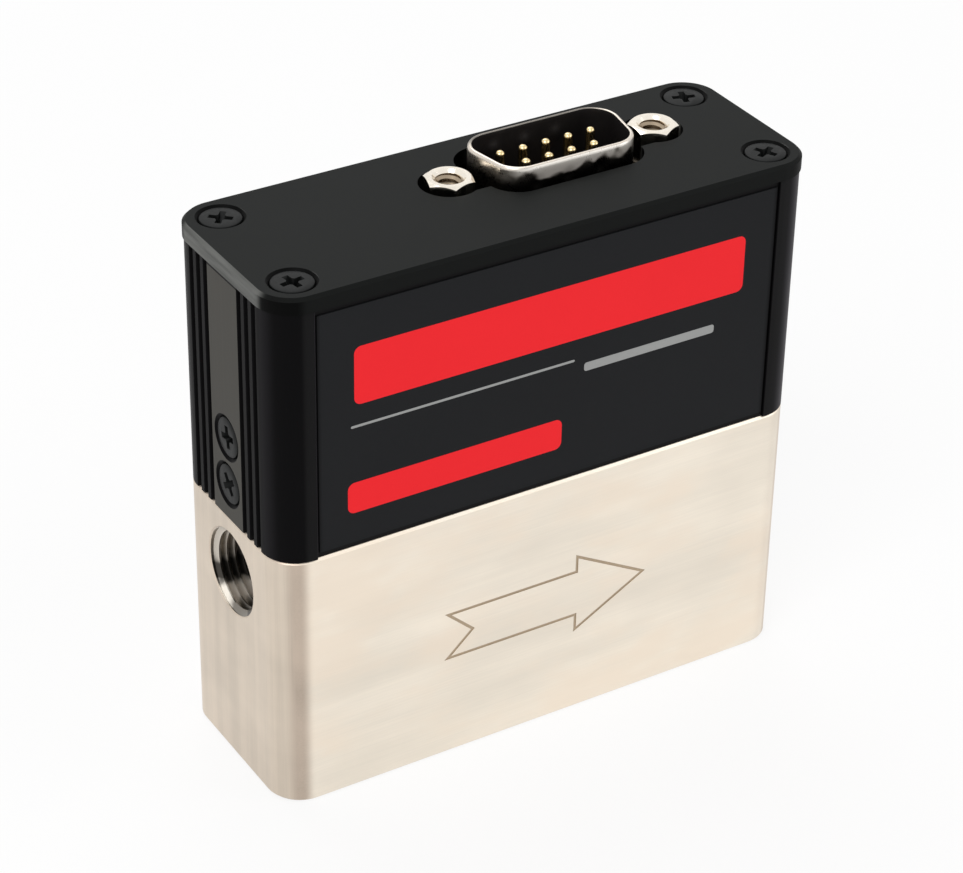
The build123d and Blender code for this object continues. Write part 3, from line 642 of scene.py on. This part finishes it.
def joined(*meshes):
    """One mesh from several."""
    body = bmesh.new()
    for mesh in meshes:
        body.from_mesh(mesh)
        bpy.data.meshes.remove(mesh)
    mesh = bpy.data.meshes.new("draft")
    body.to_mesh(mesh)
    body.free()
    return mesh


def slab(outlines, z0, z1, turn=None):
    """Flat solid between two heights; outlines after the first are holes."""
    curve = bpy.data.curves.new("draft", "CURVE")
    curve.dimensions, curve.fill_mode = "2D", "BOTH"
    curve.extrude = (z1 - z0) / 2 * MM
    for outline in outlines:
        spline = curve.splines.new("POLY")
        spline.points.add(len(outline) - 1)
        for point, (x, y) in zip(spline.points, outline):
            point.co = (x * MM, y * MM, 0.0, 1.0)
        spline.use_cyclic_u = True
    draft = linked("draft", curve)
    mesh = bpy.data.meshes.new_from_object(draft.evaluated_get(bpy.context.evaluated_depsgraph_get()))
    bpy.data.objects.remove(draft)
    bpy.data.curves.remove(curve)
    mesh.transform((turn or Matrix()) @ Matrix.Translation((0, 0, (z0 + z1) / 2 * MM)))
    weld(mesh)
    return mesh


def weld(mesh, gap=1e-6, sliver=0.0):
    """Joins the points of a mesh that lie together, and takes out faces with no area."""
    body = bmesh.new()
    body.from_mesh(mesh)
    bmesh.ops.remove_doubles(body, verts=body.verts, dist=gap)
    if sliver:
        bmesh.ops.dissolve_degenerate(body, edges=body.edges, dist=sliver)
    bmesh.ops.recalc_face_normals(body, faces=body.faces)
    body.to_mesh(mesh)
    body.free()


def belts(rows, count, total):
    """Faces between rows of points; the last row may run on into the first."""
    faces = []
    for row in range(rows):
        for k in range(count):
            a, b = row * count + k, row * count + (k + 1) % count
            faces.append((a, b, (b + count) % total, (a + count) % total))
    return faces


def lofted(rows, turn=None):
    """Closed solid through rows of points, each row going round the same way."""
    count, total = len(rows[0]), len(rows) * len(rows[0])
    faces = [tuple(range(count))[::-1], tuple(range(total - count, total))]
    faces += belts(len(rows) - 1, count, total)
    mesh = mesh_of([point for row in rows for point in row], faces)
    if turn:
        mesh.transform(turn)
    return mesh


def lathe(profile, steps=48, turn=None):
    """Solid turned from (radius, height) pairs, with a flat face at both ends."""
    rows = [[(x, y, height) for x, y in circle(0, 0, radius, steps)] for radius, height in profile]
    return lofted(rows, turn)


def cut(mesh, *cutters):
    """Takes cutters out of a closed mesh; their own material stays on the faces they leave."""
    target, tools = linked("draft", mesh), []
    for cutter in cutters:
        tool = linked("draft_tool", cutter)
        change = target.modifiers.new("cut", "BOOLEAN")
        change.operation, change.solver, change.object = "DIFFERENCE", "EXACT", tool
        change.material_mode = "TRANSFER"
        tools.append(tool)
    result = bpy.data.meshes.new_from_object(target.evaluated_get(bpy.context.evaluated_depsgraph_get()))
    for tool in tools:
        spare = tool.data
        bpy.data.objects.remove(tool)
        bpy.data.meshes.remove(spare)
    bpy.data.objects.remove(target)
    bpy.data.meshes.remove(mesh)
    if len(result.polygons) < 8:
        raise RuntimeError("a cut left no solid")
    return result


def arc(cx, cy, radius, start, end, steps):
    """Points round part of a circle, angles in degrees."""
    spins = (math.radians(start + (end - start) * k / steps) for k in range(steps + 1))
    return [(cx + radius * math.cos(spin), cy + radius * math.sin(spin)) for spin in spins]


def polar(radius, spin, z=0.0):
    """Point round the Z axis, angle in radians."""
    return Vector((radius * math.cos(spin), radius * math.sin(spin), z))


def circle(cx, cy, radius, steps):
    return arc(cx, cy, radius, 0, 360, steps)[:-1]


def mirrored(quarter):
    """Closed outline from its first quarter, which runs from +X round to +Y."""
    half = quarter + [(-x, y) for x, y in reversed(quarter)]
    return half + [(-x, -y) for x, y in half]


def rounded(cx, cy, width, height, radius, steps=6):
    """Rectangle with rounded corners."""
    quarter = arc(width / 2 - radius, height / 2 - radius, radius, 0, 90, steps)
    return [(cx + x, cy + y) for x, y in mirrored(quarter)]


def thread(radius, crest, pitch, run, steps, turn):
    """Sleeve with an inside thread, along +Z from its inner end, to sit in a plain bore."""
    radius -= 0.03
    phases = (0.0, 0.12, 0.46, 0.62)
    heights = (0.0, 0.0, crest, crest)
    rows = 4 * (math.ceil(run / pitch) + 3)
    points, faces = [], []
    for k in range(steps):
        for row in range(rows):
            z = (row // 4 - 1 + phases[row % 4] + k / steps) * pitch
            z = min(max(z, 0.0), run)
            tall = min(heights[row % 4], 1.2 * (run - z), 1.5 * z)
            points.append(polar(radius - tall, 2 * math.pi * (k / steps), z))
    for k in range(steps):
        shift = 4 if k == steps - 1 else 0
        here, there = k * rows, (k + 1) % steps * rows + shift
        for row in range(rows - 1 - shift):
            faces.append((here + row, here + row + 1, there + row + 1, there + row))
    base = len(points)
    for z in (0.0, run):
        points += [polar(radius + 0.04, 2 * math.pi * k / steps, z) for k in range(steps)]
    top = base + steps
    for k in range(steps):
        n = (k + 1) % steps
        faces.append((base + k, base + n, top + n, top + k))
        faces.append((k * rows, n * rows, base + n, base + k))
        faces.append((k * rows + rows - 1, n * rows + rows - 1, top + n, top + k))
    mesh = mesh_of(points, faces)
    mesh.transform(turn)
    return mesh


def standing(x, y, z, *turns):
    """Matrix at a place in millimetres, turned by (degrees, axis) pairs."""
    made = Matrix.Translation(Vector((x, y, z)) * MM)
    for degrees, axis in turns:
        made = made @ Matrix.Rotation(math.radians(degrees), 4, axis)
    return made


def shroud_outline(props):
    """The connector's D outline as (point, outward direction) pairs, evenly walked."""
    lean, r = props.slope, props.corner / MM
    w, h = sizes(props, "inner_width", "inner_height")
    reach = math.cos(lean) * (w / 2 - r) - math.sin(lean) * (h / 2 - r) + r
    wide = (reach + math.sin(lean) * h / 2) / math.cos(lean)
    narrow = (reach - math.sin(lean) * h / 2) / math.cos(lean)
    corners = [(wide, h / 2), (-wide, h / 2), (-narrow, -h / 2), (narrow, -h / 2)]
    walk = []
    for k, corner in enumerate(corners):
        here = Vector(corner)
        before = (Vector(corners[k - 1]) - here).normalized()
        after = (Vector(corners[(k + 1) % 4]) - here).normalized()
        half = before.angle(after) / 2
        centre = here + (before + after).normalized() * (r / math.sin(half))
        start = math.atan2(before.x, -before.y)
        swing = math.pi - 2 * half
        walk += [(centre, start + swing * n / 12) for n in range(13)]
    made = []
    for k, (centre, spin) in enumerate(walk):
        out = polar(1, spin).xy
        made.append((centre + out * r, out))
        following, next_spin = walk[(k + 1) % len(walk)]
        if following != centre:
            gap = following + polar(1, next_spin).xy * r - made[-1][0]
            steps = max(1, round(gap.length / 0.3))
            made += [(made[-1][0] + gap * (n / steps), out) for n in range(1, steps)]
    return made


# -------- operators


class FLOWCTL_OT_block(bpy.types.Operator):
    """Steel block with its engraved flow arrow."""

    bl_idname = "flowctl.block"
    bl_label = "Steel block and arrow"

    def execute(self, context):
        props, mark = context.scene.flowctl_block, context.scene.flowctl_arrow
        steel = brushed_steel(props)
        stain = worked("engraved_line", mark.stain, 0.62, 3000, 0.3, 0.1, 0.3, 0.02, metallic=0.3)
        mid, tail, tip, neck, notch = sizes(mark, "height", "tail", "tip", "neck", "notch")
        shaft, head, width, depth = sizes(mark, "shaft", "head", "line", "depth")
        path = [(tail, shaft), (neck, shaft), (neck, head), (tip, 0)]
        path += [(neck, -head), (neck, -shaft), (tail, -shaft), (notch, 0)]
        path = [Vector((x, mid + y)) for x, y in path]
        sides = [offset_path(path, way * width / 2) for way in (-1, 1)]
        front = -BLOCK_LOW.y
        line = slab(sides, front - depth, front + 0.3, UPRIGHT)
        line.materials.append(stain)
        block = copied("flow_body")
        block.materials.append(steel)
        block = cut(block, line)
        piece("steel_block", block, crease=24.0, replaces="flow_body")
        return {"FINISHED"}


def offset_path(path, gap):
    """Closed path moved sideways by a gap, with mitred corners."""
    made = []
    for k, here in enumerate(path):
        along = (here - path[k - 1]).normalized()
        onward = (path[(k + 1) % len(path)] - here).normalized()
        first, second = Vector((along.y, -along.x)), Vector((onward.y, -onward.x))
        both = first + second
        made.append(tuple(here + both * (gap * 2 / both.length_squared)))
    return made


class FLOWCTL_OT_threads(bpy.types.Operator):
    """Threads inside both ports."""

    bl_idname = "flowctl.threads"
    bl_label = "Port threads"

    def execute(self, context):
        props = context.scene.flowctl_thread
        run, crest, pitch = sizes(props, "port_length", "port_crest", "port_pitch")
        ports = {mount["name"]: mount for mount in frame["record"]["mounts"]}
        height = ports["inlet_port"]["pos_m"][2] / MM
        metal = threaded_steel("cut_steel", (0.72, 0.66, 0.58), height)
        for name in ("inlet", "outlet"):
            port = ports[name + "_port"]
            side = port["axis"][0]
            turn = standing(side * (BLOCK_HIGH.x - 0.15 - run), 0, height, (side * 90, "Y"))
            mesh = thread(port["dims"]["r_mm"], crest, pitch, run, props.steps, turn)
            piece(name + "_thread", mesh, metal, crease=40.0)
        return {"FINISHED"}


class FLOWCTL_OT_housing(bpy.types.Operator):
    """Grooved black housing with broken edges."""

    bl_idname = "flowctl.housing"
    bl_label = "Housing"

    def execute(self, context):
        props = context.scene.flowctl_cover
        end, back = COVER_HIGH.x, COVER_HIGH.y
        edge, corner, deep, half = sizes(props, "edge", "corner", "groove_depth", "groove_width")
        half /= 2
        quarter = []
        for k in range(3):
            y = (props.groove_start + k * props.groove_pitch) / MM
            quarter += [(end, y - half - edge), (end - edge, y - half), (end - deep, y - half)]
            quarter += [(end - deep, y + half), (end - edge, y + half), (end, y + half + edge)]
        quarter += arc(end - corner, back - corner, corner, 0, 90, 14)
        step, sunk = sizes(props, "recess_width", "recess_depth")
        step /= 2
        quarter += [(step + edge, back), (step, back - edge), (step, back - sunk)]
        channel = arc(CAP_SCREW_X, CAP_SCREW_Y, CHANNEL_R, *CHANNEL_SPAN, 16)[1:-1]
        room = [ROOM_CORNERS[0], *channel, ROOM_CORNERS[1]]
        holes = [circle(x, y, SCREW_R, 24) for x, y in CAP_SCREWS]
        cover = slab([mirrored(quarter), mirrored(room), *holes], COVER_LOW.z, COVER_HIGH.z)
        profile = [(SCREW_R, -4.0), (SCREW_R, -1.35), (SIDE_SINK_R, 0.0), (SIDE_SINK_R, 1.0)]
        turns = [standing(side * end, 0, z, (side * 90, "Y")) for side, z, turn in SIDE_SCREWS]
        cover = cut(cover, *(lathe(profile, turn=turn) for turn in turns))
        black = anodised_black(props)
        piece("housing_shell", cover, black, crease=25.0, replaces="housing")
        dress(anodised_cap(props), "top_cap")
        return {"FINISHED"}


class FLOWCTL_OT_screws(bpy.types.Operator):
    """Blackened countersunk screws."""

    bl_idname = "flowctl.screws"
    bl_label = "Cover screws"

    def execute(self, context):
        metal = {"metallic": 0.2, "specular_ior_level": 0.08}
        rgb = context.scene.flowctl_cover.screw
        black = worked("blackened_steel", rgb, 0.40, 2600, 0.3, 0.12, 0.25, 0.015, **metal)
        turns = zip(CAP_SCREWS, CAP_SCREW_TURNS)
        caps = [standing(x, y, CAP_TOP - 0.1, (turn, "Z")) for (x, y), turn in turns]
        out = BLOCK_HIGH.x - 0.1
        ends = [standing(side * out, 0, z, (side * 90, "Y"), (turn, "Z")) for side, z, turn in SIDE_SCREWS]
        for name, long, places in (("cap_screw", CAP_SCREW_RUN, caps), ("side_screw", SIDE_SCREW_RUN, ends)):
            mesh = joined(*(crossed_screw(long, place) for place in places))
            piece(name + "_set", mesh, black, crease=30.0, replaces=name + "s")
        return {"FINISHED"}


def crossed_screw(long, turn):
    """Countersunk screw with a tapered cross recess; its head's top is at z 0."""
    profile = [(0.85, -long), (SCREW_R, 0.4 - long), (SCREW_R, -1.25)]
    profile += [(2.16, -0.34), (2.2, -0.16), (2.15, -0.05), (2.05, 0.0)]
    rows = []
    for reach, half, z in ((0.6, 0.24, -1.0), (1.36, 0.35, 0.12)):
        corner = [Vector((reach, -half, z)), Vector((reach, half, z)), Vector((half, half, z))]
        turns = [Matrix.Rotation(math.radians(90 * k), 3, "Z") for k in range(4)]
        rows.append([quarter @ point for quarter in turns for point in corner])
    cross = lofted(rows)
    core = lathe([(0.12, -1.2), (0.32, -1.02), (0.66, 0.12)], 24)
    screw = cut(lathe(profile), cross, core)
    screw.transform(turn)
    return screw


class FLOWCTL_OT_label(bpy.types.Operator):
    """Front label with plain bands and a rule."""

    bl_idname = "flowctl.label"
    bl_label = "Front label"

    def execute(self, context):
        props = context.scene.flowctl_label
        dress(label_film(props), "front_label")
        face, top = -LABEL_LOW.y, -LABEL_LOW.y + props.ink / MM
        for name, shapes, rgb in (("label_bands", BANDS, props.band), ("label_rules", RULES, props.rule)):
            mesh = joined(*(slab([rounded(*shape)], face, top, UPRIGHT) for shape in shapes))
            ink = worked(name + "_ink", rgb, 0.44, 5200, 0.05, 0.06, 0.10, 0.006, specular_ior_level=0.05)
            piece(name, mesh, ink)
        return {"FINISHED"}


class FLOWCTL_OT_shroud(bpy.types.Operator):
    """Pressed connector shell: flange, shroud with its rolled rim, and grip dents."""

    bl_idname = "flowctl.shroud"
    bl_label = "Connector shell"

    def execute(self, context):
        props = context.scene.flowctl_plug
        wall, crown = sizes(props, "wall", "crown")
        foot, lip, low, high = 0.55, 0.1, SHELL_LOW.z + 0.5, SHELL_HIGH.z
        profile = [(wall + foot, low - 0.45), (wall + foot, low)]
        for a in (0.4, 0.8, 1.2):
            profile.append((wall + foot * (1 - math.sin(a)), low + foot * (1 - math.cos(a))))
        rows = 14
        climb = high - crown - low - foot
        profile += [(wall, low + foot + climb * n / rows) for n in range(rows + 1)]
        top = wall - 1.6 * lip
        for a in spread(0.2, math.pi / 2, 9):
            profile.append((wall - top + top * math.cos(a), high - crown + crown * math.sin(a)))
        for a in spread(0.3, math.pi / 2, 4):
            profile.append((lip - lip * math.sin(a), high - lip + lip * math.cos(a)))
        profile += [(0.0, high - lip - (high - lip - low + 0.45) * n / rows) for n in range(1, rows + 1)]
        outline = shroud_outline(props)
        dents = [(x, CAP_TOP) for x in DENTS_X]
        points, count = [], len(outline)
        for offset, z in profile:
            for spot, out in outline:
                push = dent(props, dents, spot, out, z) if offset < wall + 1e-6 else 0.0
                at = spot + out * (offset - push)
                points.append((PLUG_X + at.x, PLUG_Y + at.y, z))
        inner = [offset < 0.02 for offset, z in profile]
        shroud = mesh_of(points, belts(len(profile), count, len(points)))
        for row in range(len(profile) - 1):
            for k in range(count):
                shroud.polygons[row * count + k].material_index = int(inner[row] and inner[row + 1])
        hole = [(PLUG_X + spot.x, PLUG_Y + spot.y) for spot, out in outline]
        studs = [circle(PLUG_X + side * LOCK_X, PLUG_Y, LOCK_STUD_R, 28) for side in (-1, 1)]
        sheet = rounded(PLUG_X, PLUG_Y, SHELL_HIGH.x - SHELL_LOW.x, SHELL_HIGH.y - SHELL_LOW.y, 1.5)
        flange = slab([sheet, hole, *studs], low - 0.5, low)
        metal = shell_plate(props)
        # painted shade: a near-black copy of the nickel for the shell's inner wall
        dark = worked("shaded_nickel", props.inside, 0.45, 900, 0.2, 0.1, 0.1, 0.01, metallic=0.5)
        both = joined(shroud, flange)
        both.materials.append(metal)
        both.materials.append(dark)
        piece("plug_shell", both, crease=38.0, replaces="connector_shell")
        dress(metal, "connector_back_shell")
        dress(plated("bright_nickel", props.bright, 0.16), "jackscrews")
        return {"FINISHED"}


def spread(first, last, count):
    return [first + (last - first) * n / (count - 1) for n in range(count)]


def dent(props, spots, spot, out, z):
    """How far the shell is pressed in at a point on its long sides."""
    if abs(out.y) < 0.99:
        return 0.0
    size = props.dent_size / MM
    near = min(math.hypot(spot.x - x, z - height) for x, height in spots) / size
    return 0.0 if near >= 1 else props.dent_depth / MM * (1 - near * near) ** 2


class FLOWCTL_OT_pins(bpy.types.Operator):
    """Pins and the moulding that holds them, and the threads of the screw locks."""

    bl_idname = "flowctl.pins"
    bl_label = "Pins and screw locks"

    def execute(self, context):
        props, turns = context.scene.flowctl_plug, context.scene.flowctl_thread
        gold = plated("gold_plate", props.gold, 0.20)
        dress(gold, "connector_pins")
        dark = worked("moulded_black", props.moulding, 0.5, 2600, 0.2, 0.08, 0.2, 0.02)
        dress(dark, "connector_insulator", "board_link", "sensor_header")
        metal = plated("tapped_nickel", (0.36, 0.29, 0.21), 0.28)
        meshes = []
        for side in (-1, 1):
            turn = standing(PLUG_X + side * LOCK_X, PLUG_Y, LOCK_TOP - 0.3 - LOCK_RUN)
            meshes.append(thread(LOCK_BORE_R, *sizes(turns, "lock_crest", "lock_pitch"), LOCK_RUN, 40, turn))
        piece("lock_threads", joined(*meshes), metal, crease=45.0)
        return {"FINISHED"}


class FLOWCTL_OT_boards(bpy.types.Operator):
    """Circuit boards and what stands on them."""

    bl_idname = "flowctl.boards"
    bl_label = "Circuit boards"

    def execute(self, context):
        dress(board_mask((0.012, 0.085, 0.040)), "connector_board", "main_board", "sensor_board")
        package = worked("chip_package", (0.016, 0.016, 0.017), 0.55, 3500, 0.2, 0.08, 0.3, 0.02)
        dress(package, "microcontroller", "valve_driver", "sensor_amplifier")
        dress(plated("crystal_can", (0.66, 0.64, 0.60), 0.3), "timing_crystal")
        body = worked("capacitor_body", (0.34, 0.22, 0.12), 0.5, 2500, 0.2, 0.1, 0.2, 0.02)
        dress(body, "board_capacitors")
        dress(plated("plated_brass", (0.70, 0.62, 0.46), 0.3), "board_standoffs")
        zinc = plated("plain_steel", (0.52, 0.52, 0.52), 0.34)
        dress(zinc, "board_screws", "sensor_screws", "valve_plate_screw", "valve_plate", "screen_ring")
        return {"FINISHED"}


class FLOWCTL_OT_sensor(bpy.types.Operator):
    """Sensor block, its chip and seals, and the parts in the flow bore."""

    bl_idname = "flowctl.sensor"
    bl_label = "Sensor and flow bore"

    def execute(self, context):
        dress(turned("manifold_metal", (0.56, 0.56, 0.57), 0.34, (400, 4000, 4000)), "sensor_manifold")
        die = worked("sensor_die", (0.10, 0.13, 0.20), 0.18, 6000, 0.3, 0.06, 0.1, 0.01, metallic=0.6)
        dress(die, "flow_sensor_chip")
        rubber = worked("seal_rubber", (0.014, 0.014, 0.015), 0.62, 2000, 0.25, 0.1, 0.4, 0.03)
        dress(rubber, "sensor_orings", "valve_orings", "plunger_seal")
        steel = turned("turned_steel", (0.60, 0.57, 0.53), 0.30, (4000, 500, 500))
        dress(steel, "inlet_screen", "laminar_element", "valve_seat")
        return {"FINISHED"}


class FLOWCTL_OT_valve(bpy.types.Operator):
    """Proportional valve: tube, plunger, spring, coil and yoke."""

    bl_idname = "flowctl.valve"
    bl_label = "Valve"

    def execute(self, context):
        soft = turned("magnetic_steel", (0.50, 0.48, 0.46), 0.32, (500, 500, 4500), 0.12)
        dress(soft, "core_tube", "pole_piece", "plunger", "yoke_can", "yoke_nut")
        dress(worked("bobbin_plastic", (0.12, 0.11, 0.10), 0.48, 1500, 0.1, 0.1, 0.2, 0.02), "bobbin")
        dress(wound_copper((0.62, 0.25, 0.10)), "coil", "coil_leads")
        wire = worked("spring_wire", (0.62, 0.60, 0.57), 0.26, 3000, 0.1, 0.08, 0.1, 0.01, metallic=1.0)
        low, high = (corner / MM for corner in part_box("return_spring"))
        slide = next(joint for joint in frame["joints"] if joint["name"] == "plunger_slide")
        stroke = slide["range_m"][1] / MM
        mesh = coil_spring(context.scene.flowctl_spring, (low + high) / 2, low.z, high.z)
        spring = piece("coil_spring", mesh, wire, crease=60.0, replaces="return_spring")
        1 - stroke / (high.z - low.z)
        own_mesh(spring)
        return {"FINISHED"}


def coil_spring(props, centre, low, high):
    """Spring on an upright axis between two heights, with a closed turn at each end."""
    (wire, coil), turns = sizes(props, "wire", "coil"), props.turns
    closed, steps = 1.0, 28
    tight = 2.1 * wire
    pitch = (high - low - 2.1 * wire - 2 * closed * tight) / (turns - 2 * closed)
    rows = []
    for k in range(round(turns * steps) + 1):
        turn = k / steps
        rise = min(turn, closed) * tight + max(0.0, min(turn, turns - closed) - closed) * pitch
        rise += max(0.0, turn - turns + closed) * tight
        out = polar(1, 2 * math.pi * turn)
        at = Vector((centre.x, centre.y, low + 1.05 * wire + rise)) + out * coil
        rows.append([at + out * x + Vector((0, 0, z)) for x, z in circle(0, 0, wire, 10)])
    return lofted(rows)


class FLOWCTL_OT_stage(bpy.types.Operator):
    """Floor, soft lamps, even sky and the camera."""

    bl_idname = "flowctl.stage"
    bl_label = "Stage"

    def execute(self, context):
        props = context.scene.flowctl_stage
        place_camera(context, props)
        light_sky(context, props)
        lay_floor(props)
        lamp("key_lamp", (-0.42, -0.30, 0.62), 0.42, 2.1)
        lamp("fill_lamp", (0.55, -0.42, 0.34), 0.40, 0.9)
        lamp("top_lamp", (0.10, 0.42, 0.66), 0.50, 1.6)
        context.scene.view_settings.view_transform = "Standard"
        return {"FINISHED"}


def place_camera(context, props):
    """Camera looking down at the object's front left corner."""
    turn, rise = props.azimuth, props.elevation
    back = Vector((math.sin(turn) * math.cos(rise), -math.cos(turn) * math.cos(rise), math.sin(rise)))
    right = Vector((0, 0, 1)).cross(back).normalized()
    above = back.cross(right)
    cos, sin = math.cos(props.roll), math.sin(props.roll)
    right, above = right * cos + above * sin, above * cos - right * sin
    camera = linked("camera", bpy.data.cameras.new("camera"))
    camera.data.lens, camera.data.sensor_width = props.lens, 36.0
    camera.data.clip_start, camera.data.clip_end = 0.01, 20.0
    made = Matrix((right, above, back)).transposed().to_4x4()
    made.translation = back * props.distance + Vector((0, 0, props.aim))
    made.translation += right * props.slide + above * props.lift
    camera.matrix_world = made
    context.scene.camera = camera


def seen(start):
    """1 for rays from the camera and for those that metal or glass sends on."""
    path = start.node("LightPath")
    names = ("Is Camera Ray", "Is Glossy Ray", "Is Transmission Ray")
    kinds = [Signal(start.tree, path.socket.node.outputs[name]) for name in names]
    return kinds[0].math("ADD", kinds[0] + kinds[1], kinds[2], clamp=True)


def light_sky(context, props):
    """Even white surroundings, full strength only where they are seen."""
    world = bpy.data.worlds.new("sky")
    context.scene.world = world
    world.use_nodes = True
    start = Signal(world.node_tree)
    level = seen(start) * (1.0 - props.sky) + props.sky
    shader = next(n for n in world.node_tree.nodes if n.type == "BACKGROUND")
    shader.inputs["Color"].default_value = (1.0, 1.0, 1.0, 1.0)
    world.node_tree.links.new(level.socket, shader.inputs["Strength"])


def lay_floor(props):
    """Pale floor that glows a little where it is seen, and keeps the object's shadow."""
    mesh = bpy.data.meshes.new("floor")
    corners = [(x * FLOOR_HALF, y * FLOOR_HALF, 0) for x, y in ((-1, -1), (1, -1), (1, 1), (-1, 1))]
    mesh.from_pydata(corners, [], [(0, 1, 2, 3)])
    linked("floor", mesh)
    material = bpy.data.materials.new("floor_paper")
    material.use_nodes = True
    tree = material.node_tree
    tree.nodes.clear()
    start = Signal(tree)
    paper = start.place().noise(30)
    shade = paper.tones(props.floor, 0.99, 1.01)
    matt = start.node("BsdfDiffuse", None, {"Color": shade})
    glow = start.node("Emission", None, {"Color": (1.0, 1.0, 1.0, 1.0), "Strength": 1.0})
    both = start.node("MixShader", None, {0: seen(start) * 0.80, 1: matt, 2: glow})
    output = tree.nodes.new("ShaderNodeOutputMaterial")
    tree.links.new(both.socket, output.inputs["Surface"])
    mesh.materials.append(material)


def lamp(name, at, size, power):
    """Square soft lamp aimed at the middle of the object."""
    light = bpy.data.lights.new(name, "AREA")
    light.size, light.energy = size, power
    made = linked(name, light)
    made.location = at
    made.rotation_euler = (Vector((0, 0, 0.03)) - Vector(at)).to_track_quat("-Z", "Y").to_euler()


class FLOWCTL_PT_pieces(bpy.types.Panel):
    """Lists the pieces of the flow controller in the sidebar."""

    bl_idname = "FLOWCTL_PT_pieces"
    bl_label = "Flow controller"
    bl_space_type = "VIEW_3D"
    bl_region_type = "UI"
    bl_category = "Flow controller"

    def draw(self, context):
        for operator in OPERATORS:
            self.layout.operator(operator.bl_idname)
        for key, group in GROUPS.items():
            box = self.layout.box()
            box.label(text=group.__doc__)
            for field in group.__annotations__:
                box.prop(getattr(context.scene, key), field)


GROUPS = {
    "flowctl_" + group.__name__.rpartition("_")[2]: group
    for group in (
        FLOWCTL_PG_block, FLOWCTL_PG_arrow, FLOWCTL_PG_thread, FLOWCTL_PG_cover,
        FLOWCTL_PG_label, FLOWCTL_PG_plug, FLOWCTL_PG_spring, FLOWCTL_PG_stage,
    )
}
OPERATORS = (
    FLOWCTL_OT_stage, FLOWCTL_OT_block, FLOWCTL_OT_threads, FLOWCTL_OT_housing,
    FLOWCTL_OT_screws, FLOWCTL_OT_label, FLOWCTL_OT_shroud, FLOWCTL_OT_pins,
    FLOWCTL_OT_boards, FLOWCTL_OT_sensor, FLOWCTL_OT_valve,
)


CLASSES = (*GROUPS.values(), *OPERATORS, FLOWCTL_PT_pieces)


def register():
    for group in CLASSES:
        bpy.utils.register_class(group)
    for key, group in GROUPS.items():
        setattr(bpy.types.Scene, key, PointerProperty(type=group))


def unregister():
    for key in GROUPS:
        delattr(bpy.types.Scene, key)
    for group in reversed(CLASSES):
        bpy.utils.unregister_class(group)


def main():
    """Registers the add-on and builds every piece in order."""
    register()
    for operator in OPERATORS:
        family, name = operator.bl_idname.split(".")
        getattr(getattr(bpy.ops, family), name)()


if __name__ == "__main__":
    main()
